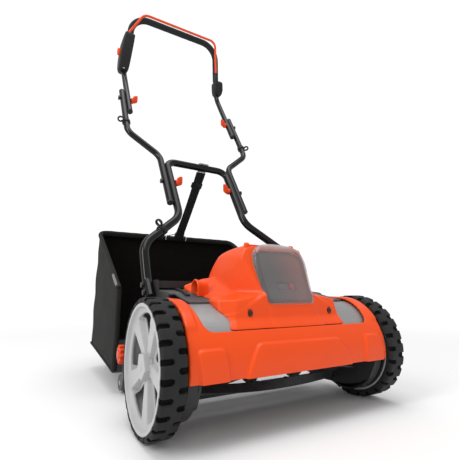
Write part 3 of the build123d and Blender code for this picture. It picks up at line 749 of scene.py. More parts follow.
def shroud_disp(x, z):
    lb = halfplanes(x, z, [((-170, 136.5), (0, 1)), ((-196, 130), (-1, -0.10)), ((-146.5, 130), (1, 0.16))], 9)
    cb = halfplanes(x, z, [((0, 138.5), (0.01, 1)), ((-101.6, 126), (-0.75, 0.68)), ((-109, 110), (-1, 0.42)),
                           ((92, 128), (0.72, 0.70)), ((104, 110), (1, 0.38))], 5)
    rb = halfplanes(x, z, [((170, 139.0), (0, 1)), ((147.5, 125), (-1, 0.10)), ((197, 120), (1, 0.05))], 7)
    d = 4.4 * (1 - sm(lb, -4.8, 0)) + 4.2 * (1 - sm(cb, -4.8, 0)) + 3.8 * (1 - sm(rb, -4.8, 0))
    # raised side band over each wheel end
    ax = np.abs(x)
    band = 2.0 * sm(ax, 186, 190) * sm(z, 158, 166)
    d = d + band
    # rounded ends
    e = np.clip((ax - 202.5) / 4.5, 0, 1)
    d = d - 4.5 * (1 - np.sqrt(1 - e * e))
    return d


def shroud_pos(u, v):
    y, z, ny, nz = shroud_at(v)
    d = shroud_disp(u, z)
    return np.stack([u, y + ny * d, z + nz * d], 1)


def shroud_sd(u, v):
    y, z, ny, nz = shroud_at(v)
    xe = 175.5 + np.clip(z - 160, 0, 60) * 0.24
    win = smax(np.abs(u) - xe, 157.0 - z, 16.0)
    return -win


us = np.linspace(-207, 207, 277)
vs = np.linspace(0, S_ARC[-1], 150)
V, F = field(us, vs, shroud_pos, shroud_sd)
shroud = piece("front_skirt", V, F, "orange_shell", "chassis", replaces=["front_shroud"], smooth=40, solid=3.0,
               outward=(0, 0, 104))


# ---------------------------------------------------------------- motor cover
CY, CZ = 15.0, 168.0


def ray_planes(x, cp, sp, planes, k):
    """Radius along (cos, sin) in Y, Z from (x, CY, CZ) to the nearest of the planes that it leaves by."""
    R = None
    for q, n in planes:
        n = np.array(n, float)
        n /= np.linalg.norm(n)
        den = n[1] * cp + n[2] * sp
        num = n[0] * (q[0] - x) + n[1] * (q[1] - CY) + n[2] * (q[2] - CZ)
        r = np.where(den > 0.02, num / np.maximum(den, 0.02), 400.0)
        r = np.clip(r, -200, 400)
        R = r if R is None else smin(R, r, k)
    return R


def mirp(planes, kx):
    return [((-q[0] * kx, q[1], q[2]), (-n[0], n[1], n[2])) for q, n in planes]


DOME = [((0, -63.9, 193.9), (0, -0.9147, 0.4047)),       # leaning face
        ((0, -13, 302.0), (0, -0.42, 0.9)),
        ((0, 10, 306.5), (0, 0.08, 1)),
        ((0, 40, 303), (0, 0.34, 0.94)),
        ((0, 80, 281), (0, 0.74, 0.67)),
        ((0, 102, 245), (0, 0.97, 0.25)),
        ((0, -65.6, 170), (0, -1, 0.055))]
DOME_R = [((-57, -54, 216), (-0.845, -0.528, 0.165)),
          ((-80, 20, 274), (-0.97, 0.05, 0.23)),
          ((-66, 20, 299), (-0.80, 0.0, 0.60)),
          ((-50, 20, 306.6), (-0.45, 0.0, 0.89))]
DOME_L = [((-57, -54, 216), (-0.845, -0.528, -0.05)),     # chamfer beside the lid
          ((-80, 20, 274), (-0.97, 0.05, 0.23)),
          ((-66, 20, 299), (-0.80, 0.0, 0.60)),
          ((-50, 20, 306.6), (-0.45, 0.0, 0.89))]
LOWF = [((0, -65.6, 170), (0, -1, 0.055)),
        ((0, 104, 200), (0, 1, 0.05)),
        ((0, 101, 230), (0, 0.8, 0.6))]
C_L = [((-88, -20, 211), (-0.42, -0.30, 0.856)),
       ((0, 60, 244), (0, 0.03, 1))]
BOSS_L = [((-115, -66, 180), (-0.637, -0.736, 0.23)),
          ((-113, -64, 202), (-0.156, -0.164, 0.973)),
          ((-113, -64, 202), (-0.86, 0.40, 0.35)),
          ((0, -64.9, 194.3), (0, -0.9147, 0.4047))]


def half_R(x, cp, sp, kx):
    """Cover radius for x at or left of 0; kx squeezes the outer end on the short side."""
    xs = x
    dome = np.where(kx > 1.2, ray_planes(x, cp, sp, DOME + DOME_R, 7.0), ray_planes(x, cp, sp, DOME + DOME_L, 7.0))
    w = 1 - sm(-x, 84.5, 88.5)
    dome = np.where(-x > 88.6, -50, dome * w + (1 - w) * 40)
    xk = np.where(x < -88, -88 + (x + 88) * kx, x)
    cpl = ray_planes(xk, cp, sp, LOWF + C_L, 5.0)
    cpl = np.minimum(cpl, ray_planes(xk, cp, sp, [((-115, -66, 180), (-0.637, -0.736, 0.23))], 1))
    bos = ray_planes(xk, cp, sp, LOWF + BOSS_L, 3.0)
    low = smax(cpl, bos, 4.0)
    return smax(dome, low, 9.0)


def cover_R(x, v):
    cp, sp = np.cos(v), np.sin(v)
    a = half_R(-np.abs(x), cp, sp, np.where(x < 0, 1.0, 1.42))
    return a


XL, XR = -138.0, 123.0


def cover_pos(u, v):
    x = np.clip(u, XL + 0.0, XR)
    over = np.maximum(XL - u, 0) + np.maximum(u - XR, 0)
    # rounded end, then straight in
    R = cover_R(x, v)
    dd = np.minimum(x - XL, XR - x)
    e = np.clip(1 - dd / 5.0, 0, 1)
    R = R - 5.0 * (1 - np.sqrt(np.maximum(1 - e * e, 0)))
    R = R - over
    y, z = CY + R * np.cos(v), CZ + R * np.sin(v)
    # the front lip flares out to meet the shroud
    y = y - np.where(y < -35, 11.0 * sm(-z, -177, -157) * sm(-y, 35, 55), 0)
    # screw recesses
    for sx in (-88.3, 88.3):
        d = np.hypot((x - sx) / 4.6, (z - 182.2) / 6.4)
        y = y + np.where((y < -50), 5.0 * (1 - sm(d, 0.75, 1.05)), 0)
    return np.stack([x, y, z], 1)


def guard_z(y):
    """Top of what the cover stands on."""
    y = np.asarray(y, float)
    e = 104 + 94.6 * np.sqrt(np.clip(1 - (y / 88.6) ** 2, 0, 1))
    deck = np.interp(y, [-15.5, 20, 60, 118], [200.0, 206.4, 215.4, 220.4])
    return np.where(y < -15.5, e, deck)


def cover_sd(u, v):
    X = cover_pos(u, v)
    y, z = X[:, 1], X[:, 2]
    front = np.where(y < -60, 157.6 - z, -50)
    s = np.maximum(guard_z(y) - z, front)
    s = np.where(y < -88, 50, s)
    # lid opening
    n = (y + 63.9) * -0.9147 + (z - 193.9) * 0.4047
    d = (y + 63.9) * 0.4047 + (z - 193.9) * 0.9147
    hw = 51.0 + (d - 1.5) * 0.100
    box = smax(smax(np.abs(X[:, 0]) - hw, 1 - d, 9), d - 104, 30)
    box = np.where((n > -12) & (y < 8), box, 50)
    return np.maximum(s, -box)


us = np.linspace(XL - 70, XR + 70, 402)
us = np.unique(np.concatenate([np.linspace(XL - 70, XL, 47), np.linspace(XL, XR, 262), np.linspace(XR, XR + 70, 47)]))
vs = np.radians(np.linspace(202, -6, 230))


def field_nu(us, vs, pos, sd):
    """field() on an uneven first axis, by index."""
    ii = np.arange(len(us), dtype=float)
    f = lambda i: np.interp(i, ii, us)
    return field(ii, vs, lambda a, b: pos(f(a), b), lambda a, b: sd(f(a), b))


V, F = field_nu(us, vs, cover_pos, cover_sd)
cover = piece("cover_shell", V, F, "orange_shell", "chassis", replaces=["motor_cover"], smooth=180, solid=2.6,
              outward=(0, 20, 180))

# cable hood on the left shoulder: a half-round spout
ang = np.radians(np.linspace(0, 180, 25))
secs = []
for x, ro, ri in ((-118, 13.5, 10.5), (-134, 13.5, 10.5), (-137, 15.2, 12.2), (-139.5, 15.4, 12.4), (-140.5, 14.4, 13.0)):
    arc_o = [(x, 42 + ro * math.cos(a), 224 + ro * math.sin(a)) for a in ang]
    arc_i = [(x, 42 + ri * math.cos(a), 224 + ri * math.sin(a)) for a in ang[::-1]]
    sec = [(x, 42 + ro, 211)] + arc_o + [(x, 42 - ro, 209), (x, 42 - ri, 209)] + arc_i + [(x, 42 + ri, 211)]
    secs.append(np.array(sec))
V, F = loft(secs)
piece("cable_hood", V, F, "orange_shell", "chassis", smooth=40)
# a near-black plate set inside the spout: painted shade for its hollow
V, F = loft([super_sec((-126, 42, 222), (0, 1, 0), (0, 0, 1), 11.5, 12.5, 2.5, 32),
             super_sec((-125, 42, 222), (0, 1, 0), (0, 0, 1), 11.5, 12.5, 2.5, 32)])
piece("hood_shade_plug", V, F, "hood_hollow_shade", "chassis", smooth=40)

# ---------------------------------------------------------------- battery lid, pack
LO = np.array([0, -63.9, 193.9])
LU = np.array([0, 0.4047, 0.9147])
LN = np.array([0, -0.9147, 0.4047])


def lid_world(x, d, n):
    x, d, n = np.broadcast_arrays(np.asarray(x, float), np.asarray(d, float), np.asarray(n, float))
    return LO + x[..., None] * np.array([1.0, 0, 0]) + d[..., None] * LU + n[..., None] * LN


def lid_out(x, d):
    hw = 53.0 + d * 0.100
    return smax(smax(np.abs(x) - hw, -1.0 - d, 9.0), d - 127.5, 60.0)


def lid_pos(u, v):
    e = -lid_out(u, v)
    H, Rr = 6.5 + 5.5 * sm(v, 30, 110), 8.5
    t = np.clip(1 - e / Rr, 0, 1)
    n = 0.6 + H * np.sqrt(np.maximum(1 - t * t, 0))
    # the top rolls back over the dome
    R0, d0 = 24.0, 100.0
    th = np.maximum(v - d0, 0) / R0
    dd = np.where(v > d0, d0 + (R0 + n - 7.0) * np.sin(th), v)
    nn = np.where(v > d0, (R0 + n - 7.0) * np.cos(th) - (R0 - 7.0), n)
    return lid_world(u, dd, nn)


us = np.linspace(-68, 68, 125)
vs = np.linspace(-3, 130, 118)
V, F = field(us, vs, lid_pos, lid_out)
lid = piece("lid_shell", V, F, "smoked_lid", "lid", replaces=["battery_lid"], smooth=60, solid=2.2,
            outward=(0, 40, 200))


def lid_frame(c, hx, hd, hn, p=4.0, n=40, rows=None):
    """Rounded block in the lid's own directions."""
    secs = []
    for k, g in ((-1.0, 0.90), (-0.92, 0.97), (-0.8, 1.0), (0.8, 1.0), (0.92, 0.97), (1.0, 0.90)):
        c3 = lid_world(c[0], c[1], c[2] + k * hn)
        secs.append(super_sec(c3, (1, 0, 0), LU, hx * g, hd * g, p, n))
    return loft(secs)


parts = [lid_frame((0, 63.5, -32), 39, 36, 20, 9.0, 64)]
V, F = joined(*parts)
pack = piece("battery_case", V, F, "battery_grey", "battery", replaces=["battery_pack"], smooth=40)
# slim hinge rod between two moulded knuckles
V, F = lathe([(-57, 0.3), (-57, 1.9), (43, 1.9), (43, 0.3)], -12.0, 302.0, 24)
piece("hinge_rod", V, F, "orange_shell", "chassis", replaces=["lid_hinge_pin"], smooth=40)
V, F = joined(*[lathe([(x0, 0.5), (x0, 4.4), (x0 + 0.6, 5.0), (x0 + 6.4, 5.0), (x0 + 7, 4.4), (x0 + 7, 0.5)], -11.0, 302.0, 36)
                for x0 in (-63.0, 42.0)])
piece("hinge_knuckles", V, F, "orange_shell", "chassis", smooth=40)
# the bay lining that shows behind the smoked lid
V, F = lid_frame((0, 60, -8.6), 52.0, 50, 1.2, 9.0, 64)


def bay_pos(u, v):
    e = -lid_out(u * 1.0, v)
    hole = smax(smax(np.abs(u - 5) - 21, 29 - v, 2.0), v - 45, 2.0)
    n = -3.3 - 5.0 * (1 - sm(hole, -1.2, 0.6))
    return lid_world(u, v, n)


us = np.linspace(-62, 62, 106)
vs = np.linspace(0, 104, 103)


def face_sd(u, v):
    return smax(smax(np.abs(u) - (45.8 + v * 0.100), 6.5 - v, 8.0), v - 102.0, 26.0)


V, F = field(us, vs, bay_pos, face_sd)
face = piece("battery_face", V, F, "battery_front", "battery", smooth=40, solid=0.3, outward=(0, 40, 200))
us = np.linspace(-68, 68, 118)
vs = np.linspace(-6, 110, 100)
V, F = field(us, vs, lambda u, v: lid_world(u, v, -4.4),
             lambda u, v: np.maximum(smax(smax(np.abs(u) - (55.0 + v * 0.100), -4 - v, 8.0), v - 107, 24.0),
                                     -smax(smax(np.abs(u) - 43.2, 23.5 - v, 1.0), v - 103.4, 1.0)))
piece("bay_lining", V, F, "battery_front", "chassis", smooth=40, solid=1.2, outward=(0, 40, 200))
V, F = lid_frame((-4, 37, -6.6), 10.5, 5.6, 1.9, 5.0, 32)
piece("battery_slider", V, F, "battery_grey", "battery", smooth=40)
V, F = lid_frame((18.5, 37, -6.2), 5.5, 6.6, 2.1, 5.0, 32)
piece("battery_latch", V, F, "orange_lever", "battery", smooth=40)

# ---------------------------------------------------------------- tubes
HP = [(197.5, 122, 206), (197.5, 150, 237.5), (197.5, 188, 317), (94.6, 238.9, 399.7), (94.6, 352.4, 580.9)]
hpath = [(-x, y, z) for x, y, z in HP] + list(reversed(HP))
V, F = tube(dense(fillet_path(hpath, [30, 60, 60, 27, 27, 60, 60, 30]), 8), lambda i, s: 10.0)
piece("hoop_tube", V, F, "black_tube", "chassis", replaces=["lower_hoop"], smooth=50)


def low_y(z):
    return 238.9 + (z - 399.7) * (352.4 - 238.9) / (580.9 - 399.7)


def up_y(z):
    return 398 + 0.6 * (z - 668)


MP = [(111.1, low_y(441), 441), (111.1, low_y(597), 597), (197.0, 398, 668), (197.0, up_y(846), 846)]


def flat_in(i, s, r=9.0):
    a = np.linspace(0, 2 * np.pi, 28, endpoint=False)
    return np.stack([r * np.cos(a), r * np.sin(a)], 1)


for sx, nm in ((-1, "left"), (1, "right")):
    path = dense(fillet_path([(sx * x, y, z) for x, y, z in MP], [48, 48]), 8)
    V, F = tube(path, lambda i, s: 9.0)
    # flattened against the tube it clamps to
    xin = np.where(V[:, 2] < 626, 111.1 - 7.4, np.where(V[:, 2] > 742, 197.0 - 7.4, 0))
    lo = np.abs(V[:, 0]) < xin
    V[:, 0] = np.where(lo, np.sign(V[:, 0]) * xin, V[:, 0])
    piece("mid_tube_" + nm, V, F, "black_tube", "mid_handle", replaces=["mid_tubes"] if sx < 0 else (), smooth=50)

UP = [(181.2, up_y(761), 761), (181.2, 582.2, 975), (162, 556, 1177)]
upath = [(-x, y, z) for x, y, z in UP] + list(reversed(UP))
ufull = dense(fillet_path(upath, [100, 62, 62, 100]), 8)
V, F = tube(ufull, lambda i, s: 9.0)
lim = 181.2 + 7.4
low = (V[:, 2] < 872) & (np.abs(V[:, 0]) > lim)
V[:, 0] = np.where(low, np.sign(V[:, 0]) * lim, V[:, 0])
piece("top_tube", V, F, "black_tube", "top_handle", replaces=["upper_handle"], smooth=50)


def leg(z):
    t = (z - 975) / (1177 - 975)
    return np.array([181.2 + (162 - 181.2) * t, 582.2 + (556 - 582.2) * t, z])


l1, l2 = leg(1101), leg(1036)
fpath = dense(fillet_path([(-l1[0], l1[1], l1[2]), (-162, 556, 1177), (162, 556, 1177), tuple(l2)], [62, 62]), 5)
m = len(fpath)


def foam_r(i, s):
    e = min(i, m - 1 - i)
    return 11.1 - 1.2 * max(0, 1 - e / 2.0) ** 2 + 0.10 * math.sin(i * 0.9)


V, F = tube(fpath, foam_r)
foam = piece("grip_sleeve", V, F, "foam", "top_handle", replaces=["grip_foam"], smooth=60)

BP = [(-179.5, 556, 1010), (-180.5, 546.5, 1092), (-130, 532, 1179), (150, 532, 1179), (169.5, 556, 1010)]
V, F = tube(dense(fillet_path(BP, [30, 30, 24]), 6), lambda i, s: 4.2)
bailv = joined((V, F), tube(np.array([(-186.5, 556, 1010), (-172.5, 556, 1010)]), lambda i, s: 3.0),
               tube(np.array([(169.0, 556, 1010), (176.5, 556, 1010)]), lambda i, s: 3.0))
piece("bail_rod", bailv[0], bailv[1], "orange_steel", "bail", replaces=["bail_bar"], smooth=50)


# ---------------------------------------------------------------- switch box and holder
def leg_axes(side, z0, z1):
    a, b = leg(z0) * [side, 1, 1], leg(z1) * [side, 1, 1]
    w = (b - a) / np.linalg.norm(b - a)
    e1 = np.array([side, 0, 0.0])
    e1 = e1 - w * (e1 @ w)
    e1 /= np.linalg.norm(e1)
    e2 = np.cross(w, e1)
    if e2[1] < 0:
        e2 = -e2
    return a, w, e1, e2, np.linalg.norm(b - a)


a, w, e1, e2, L = leg_axes(-1, 962, 1100)
rows = [  # t, out-lo, out-hi, front, back
    (0.00, -8, 12, -10, 10), (0.015, -10, 15, -13, 11.5), (0.05, -12.5, 17.5, -17, 12.5), (0.10, -14, 19, -21.5, 13),
    (0.22, -14.5, 21.0, -26.5, 13), (0.40, -14.8, 22.6, -28, 13), (0.60, -15, 22.8, -28, 13), (0.80, -15, 21.0, -28, 13),
    (0.93, -14.8, 20.0, -28, 13), (0.975, -14.6, 19.2, -27.6, 12.6), (0.993, -13.6, 18.0, -26.2, 11.5), (1.0, -11.8, 16, -24, 9.6)]
secs = []
for t, ol, oh, fr, bk in rows:
    c = a + w * (L * t) + e1 * (ol + oh) / 2 + e2 * (fr + bk) / 2
    secs.append(super_sec(c, e1, e2, (oh - ol) / 2, (bk - fr) / 2, 7.5, 64))
V, F = loft(secs)
piece("switch_case", V, F, "black_plastic", "top_handle", replaces=["switch_box"], smooth=60)
# side cheek, a lighter grey moulding that carries the button
rows = [(0.06, 13, 19.4, -15, 9), (0.12, 13, 21.3, -17.5, 11), (0.30, 14, 23.6, -18.5, 11.6), (0.50, 14, 24.8, -18.8, 11.8),
        (0.70, 14, 24.2, -18.5, 11.6), (0.88, 13, 21.0, -17.5, 11), (0.945, 12, 18.6, -14, 8)]
secs = []
for t, ol, oh, fr, bk in rows:
    c = a + w * (L * t) + e1 * (ol + oh) / 2 + e2 * (fr + bk) / 2
    secs.append(super_sec(c, e1, e2, (oh - ol) / 2, (bk - fr) / 2, 3.6, 48))
V, F = loft(secs)
piece("switch_cheek", V, F, "dark_plastic", "top_handle", smooth=60)
# button on the cheek
secs = []
for x, g in ((-198, 0.9), (-203, 1.0), (-206.5, 0.95), (-208.0, 0.82), (-208.6, 0.58)):
    secs.append(super_sec((x, 563, 1026), (0, 1, 0), (0, 0, 1), 6.8 * g, 13.6 * g, 2.6, 40))
V, F = loft(secs)
piece("button_cap", V, F, "orange_lever", "safety_button", replaces=["lock_button"], smooth=50)
# small front screw
for t, off in ((0.08, 2.0),):
    c = a + w * (L * t) + e1 * 2 + e2 * -20.5
    V, F = loft([super_sec(c + e2 * k, e1, w, 2.6 * g, 2.6 * g, 2.0, 20) for k, g in ((2, 1), (-0.6, 1), (-1.2, 0.8))])
    piece("switch_screw", V, F, "steel", "top_handle", smooth=40)

a, w, e1, e2, L = leg_axes(1, 980, 1035)
rows = [(0.0, -6, 12, -10, 9), (0.05, -9, 16, -15, 11), (0.14, -12.5, 19, -21.5, 12), (0.4, -15.4, 21, -28, 12), (0.7, -15.8, 21, -28, 12),
        (0.88, -15.2, 20.6, -27.5, 12), (0.96, -10, 18.8, -24.5, 10.5), (1.0, -7, 15.5, -21, 8)]
secs = []
for t, ol, oh, fr, bk in rows:
    c = a + w * (L * t) + e1 * (ol + oh) / 2 + e2 * (fr + bk) / 2
    secs.append(super_sec(c, e1, e2, (oh - ol) / 2, (bk - fr) / 2, 4.5, 48))
V, F = loft(secs)
piece("holder_case", V, F, "black_plastic", "top_handle", replaces=["bail_holder"], smooth=60)
# boot where the bail leaves the holder
bp = fillet_path(BP, [30, 30, 24])
i0 = len(bp) - 1
q0, q1 = np.array(BP[-1], float), np.array(BP[-2], float)
dd = (q1 - q0) / np.linalg.norm(q1 - q0)
bp = np.array([q0 + dd * k for k in (4, 16, 28, 34, 44, 50)])
rr = [7.4, 8.4, 8.2, 7.0, 5.8, 4.9]
V, F = tube(bp, lambda i, s: rr[i])
piece("bail_boot", V, F, "black_plastic", "bail", smooth=50)


# ---------------------------------------------------------------- wing levers
def make_lever(name, node, body, piv, xt, side):
    y, z = piv
    parts = [lathe([(xt - 0.2, 3.1), (xt - 0.2, 8.3), (xt - 1.2, 9.0), (xt - 6.5, 9.0), (xt - 8.0, 8.0), (xt - 8.0, 3.1)], y, z, 40)]
    secs = []
    for x, zl, zh, yh in ((xt - 5.5, -6, 12, 4.2), (xt - 7.5, -7, 16, 5.0), (xt - 11, -6.6, 18.6, 4.7), (xt - 15, -5.2, 20.0, 4.0),
                          (xt - 18.6, -3.2, 20.4, 3.4), (xt - 20.0, -0.5, 19.2, 2.6)):
        secs.append(super_sec((x, y - 1.5 * ((xt - x) / 20) ** 2, z + (zl + zh) / 2), (0, 1, 0), (0, 0, 1), yh, (zh - zl) / 2, 3.2, 40))
    parts.append(loft(secs))
    # grip ribs
    for k in range(3):
        zz = z + 3 + 5 * k
        parts.append(loft([super_sec((x, y - 4.6 + (0.6 if x > xt - 9 else 0.2), zz), (0, 1, 0), (0, 0, 1), 1.0, 0.9, 2.0, 10)
                           for x in (xt - 16, xt - 12, xt - 8)]))
    V, F = joined(*parts)
    if side < 0:
        V = mirror_x(V)
    piece(name, V, F, "orange_lever", body, replaces=[node], smooth=45)


for side, nm in ((-1, "left"), (1, "right")):
    make_lever("wing_lower_" + nm, "lower_lever_" + nm, "lever_lower_" + nm, (305.5, 506.0), 84.6, side)
    make_lever("wing_upper_" + nm, "upper_lever_" + nm, "lever_upper_" + nm, (485.0, 813.0), 172.2, side)

# ---------------------------------------------------------------- height knob
th = np.linspace(0, 2 * np.pi, 160, endpoint=False)
secs = []
for x, g, h in ((-217.2, 0.97, 1), (-218.2, 1.0, 1), (-228.6, 1.0, 1), (-230.2, 0.96, 1), (-230.6, 0.86, 0.6)):
    r = (17.2 + 2.4 * h * np.sign(np.cos(10 * th)) * np.abs(np.cos(10 * th)) ** 0.6) * g
    secs.append(np.stack([np.full(160, x), 222 + r * np.cos(th), 87 + r * np.sin(th)], 1))
V, F = loft(secs)
hubk = lathe([(-230.4, 0.2), (-230.4, 9.5), (-232.4, 8.4), (-232.9, 0.2)], 222, 87, 40)
V, F = joined((V, F), hubk)
piece("knob_grip", V, F, "orange_lever", "knob", replaces=["height_knob"], smooth=40)


# ---------------------------------------------------------------- cable clips
def clip_piece(name, p, d, r, ring_dir, body, node=None, ring_r=7.5):
    p, d = np.array(p, float), np.array(d, float)
    d /= np.linalg.norm(d)
    rd = np.array(ring_dir, float)
    rd = rd - d * (rd @ d)
    rd /= np.linalg.norm(rd)
    path = np.array([p + d * k for k in (-6.5, -6.0, -5.0, 5.0, 6.0, 6.5)])
    rad = [r + 1.2, r + 2.2, r + 2.8, r + 2.8, r + 2.2, r + 1.2]
    parts = [tube(path, lambda i, s: rad[i])]
    c = p + rd * (r + 2.0 + ring_r)
    e2 = np.cross(d, rd)
    t = np.linspace(0, 2 * np.pi, 40, endpoint=False)
    loop = c + np.cos(t)[:, None] * rd * ring_r + np.sin(t)[:, None] * e2 * ring_r
    secs = []
    for i in range(40):
        rad_dir = (loop[i] - c) / np.linalg.norm(loop[i] - c)
        secs.append(super_sec(loop[i], rad_dir, d, 2.1, 3.4, 2.6, 12))
    V = np.vstack(secs)
    parts.append((V, grid_faces(40, 12, True, True)))
    V, F = joined(*parts)
    return piece(name, V, F, "black_plastic", body, replaces=[node] if node else (), smooth=50)


d_up = np.array([0, 0.6, 1.0]) / np.linalg.norm([0, 0.6, 1.0])
for sx, nm in ((-1, "left"), (1, "right")):
    clip_piece("guide_clip_" + nm, (sx * 197.0, up_y(705), 705), d_up, 9.0, (sx, -0.45, 0.0), "mid_handle",
               "mid_cable_clips" if sx < 0 else None)
hv = np.array([94.6 - 197.5, 50.9, 82.7])
hv /= np.linalg.norm(hv)
hc = np.array([197.5, 188, 317]) + hv * 68
clip_piece("guide_clip_hoop", (-hc[0], hc[1], hc[2]), (-hv[0], hv[1], hv[2]), 10.0, (-1.0, -0.55, 0.6), "chassis", "hoop_cable_clip")

# ---------------------------------------------------------------- grass catcher
HB = 233.0
QF = {"fb": (255.0, 46.0), "rb": (572.5, 70.2), "rt": (552.0, 397.0), "ft": (247.0, 224.0)}


def side_pt(a, b):
    """a from the mouth (0) to the back (1), b from the floor (0) to the rim (1): Y and Z."""
    fb, rb, rt, ft = (np.array(QF[k]) for k in ("fb", "rb", "rt", "ft"))
    a, b = a[..., None], b[..., None]
    return (fb * (1 - a) + rb * a) * (1 - b) + (ft * (1 - a) + rt * a) * b


RC = 26.0
side_len = 317.0
plan = []       # (kind, value) along the wall: left side, corner, back, corner, right side
la = side_len - RC
lb = 2 * (HB - RC)
lc = RC * math.pi / 2
TOT = 2 * la + lb + 2 * lc


def wall(u, v, out=0.0):
    """u runs 0..TOT round the wall, v 0..1 up it."""
    y = np.zeros_like(u)
    s1, s2, s3, s4 = la, la + lc, la + lc + lb, la + 2 * lc + lb
    x = np.zeros_like(u)
    a = np.ones_like(u)
    nx, ny = np.zeros_like(u), np.zeros_like(u)
    m1 = u <= s1
    x[m1] = -HB
    a[m1] = u[m1] / side_len
    nx[m1] = -1
    m2 = (u > s1) & (u <= s2)
    th = (u[m2] - s1) / RC
    x[m2] = -HB + RC - RC * np.cos(th)
    a[m2] = (la + RC * np.sin(th)) / side_len
    nx[m2], ny[m2] = -np.cos(th), np.sin(th)
    m3 = (u > s2) & (u <= s3)
    x[m3] = -HB + RC + (u[m3] - s2)
    ny[m3] = 1
    m4 = (u > s3) & (u <= s4)
    th = (u[m4] - s3) / RC
    x[m4] = HB - RC + RC * np.sin(th)
    a[m4] = (la + RC * np.cos(th)) / side_len
    nx[m4], ny[m4] = np.sin(th), np.cos(th)
    m5 = u > s4
    x[m5] = HB
    a[m5] = (TOT - u[m5]) / side_len
    nx[m5] = 1
    yz = side_pt(a, v)
    # fabric pulls in between its wires and bellies out low down, with soft creases by the corners
    side = np.minimum(u, TOT - u)
    sag = np.zeros_like(u)
    mm = side < la
    sag[mm] = np.sin(np.pi * np.clip(side[mm] / la, 0, 1)) * (4.2 * np.sin(np.pi * v[mm]) ** 1.2)
    ub = np.clip((u - s2) / lb, 0, 1)
    inb = (u > s2) & (u < s3)
    sag[inb] = np.sin(np.pi * ub[inb]) ** 0.8 * 6.0 * np.sin(np.pi * v[inb]) ** 1.1
    dc = np.minimum(np.abs(u - (s1 + s2) / 2), np.abs(u - (s3 + s4) / 2))
    crease = 1.3 * np.exp(-(dc / 55.0) ** 2) * np.sin(v * 21 + dc * 0.10) * np.sin(np.pi * v)
    ripple = 0.9 * np.sin(u * 0.043 + 1.7 * np.sin(v * 4.0)) * np.sin(np.pi * v) * np.cos(v * 7.0 + u * 0.011)
    # hang between the rim's wire and floor: a slack fold under the rim
    fold = 1.2 * np.sin(np.pi * np.clip((v - 0.84) / 0.16, 0, 1)) * np.sin(u * 0.06)
    o = sag + crease + ripple + fold + out
    return np.stack([x + nx * o, yz[:, 0] + ny * o, yz[:, 1]], 1)


us = np.linspace(0, TOT, 300)
vs = np.linspace(0.0, 1.0, 90)
V, F = field(us, vs, lambda u, v: wall(u, v))
nf = len(F)
bag = piece("catcher_bag", V, F, "bag_fabric", "catcher", replaces=["catcher_fabric"], smooth=60,
            mats=["bag_fabric", "bag_inner_shade"], outward=(0, 400, 200))
so = bag.modifiers.new("wall", "SOLIDIFY")
so.thickness = 0.0012
so.offset = -1
so.use_rim = True
# the inner face takes the darker inner fabric: painted shade inside the bag
so.material_offset = 1
so.material_offset_rim = 0


def wall_line(u_or_v, n, fixed_v=None, fixed_u=None, out=0.0):
    if fixed_v is not None:
        u = np.linspace(u_or_v[0], u_or_v[1], n)
        return wall(u, np.full(n, fixed_v), out)
    v = np.linspace(u_or_v[0], u_or_v[1], n)
    return wall(np.full(n, fixed_u), v, out)


# hem rolled over the rim wire, bindings on the mouth edges and a base welt
hem = wall_line((0, TOT), 260, fixed_v=0.993, out=-2.6)
V1 = tube(hem, lambda i, s: super_sec((0, 0, 0), (1, 0, 0), (0, 1, 0), 6.2 + 0.25 * math.sin(i * 0.7), 6.0, 2.2, 20)[:, :2])
welt = wall_line((0, TOT), 260, fixed_v=0.012, out=0.6)
V2 = tube(welt, lambda i, s: 2.6)
ml = tube(wall_line((0.01, 0.99), 50, fixed_u=1.5, out=-2.8), lambda i, s: super_sec((0, 0, 0), (1, 0, 0), (0, 1, 0), 6.0, 6.0, 2.2, 18)[:, :2])
mr_ = tube(wall_line((0.01, 0.99), 50, fixed_u=TOT - 1.5, out=-2.8), lambda i, s: super_sec((0, 0, 0), (1, 0, 0), (0, 1, 0), 6.0, 6.0, 2.2, 18)[:, :2])
V, F = joined(V1, V2, ml, mr_)
hemo = piece("catcher_hem", V, F, "bag_fabric", "catcher", smooth=60)

fx = np.array([v.co for v in NODES["catcher_frame"].data.vertices])
wx = float(np.abs(fx[:, 0]).max()) * 1000 - 3.0
wp = [(-wx, 259.2, 55.0), (-wx, 252.5, 219.5), (-wx, 545.4, 386), (wx, 545.4, 386), (wx, 252.5, 219.5), (wx, 259.2, 55.0)]
V, F = tube(dense(fillet_path(wp, [12, 16, 16, 12]), 6), lambda i, s: 4.1 + 0.12 * math.sin(i * 0.9))
# the sleeve takes the darker inner fabric: painted shade on the rim wire
sleeve = piece("rim_sleeve", V, F, "bag_inner_shade", "catcher", smooth=60)

# stitches along the hem, the mouth bindings and the base
stitch_parts = []


def stitch_row(pts, gap=5.2, ln=3.4, r=0.45):
    seg = np.linalg.norm(np.diff(pts, axis=0), axis=1)
    s = np.concatenate([[0], np.cumsum(seg)])
    k = 0.0
    while k + ln < s[-1]:
        p = np.array([np.interp(k, s, pts[:, j]) for j in range(3)])
        q = np.array([np.interp(k + ln, s, pts[:, j]) for j in range(3)])
        stitch_parts.append(tube(np.array([p, (p * 3 + q) / 4, (p + 3 * q) / 4, q]),
                                 lambda i, t: super_sec((0, 0, 0), (1, 0, 0), (0, 1, 0), [0.2, r, r, 0.2][i], [0.2, r, r, 0.2][i], 2, 6)[:, :2]))
        k += gap


stitch_row(wall_line((4, TOT - 4), 240, fixed_v=0.955, out=0.25))
stitch_row(wall_line((0.03, 0.94), 60, fixed_u=11, out=0.25))
stitch_row(wall_line((0.03, 0.94), 60, fixed_u=TOT - 11, out=0.25))
stitch_row(wall_line((4, TOT - 4), 240, fixed_v=0.045, out=0.25))
V, F = joined(*stitch_parts)
stitches = piece("catcher_stitches", V, F, "seam_thread", "catcher", smooth=60)

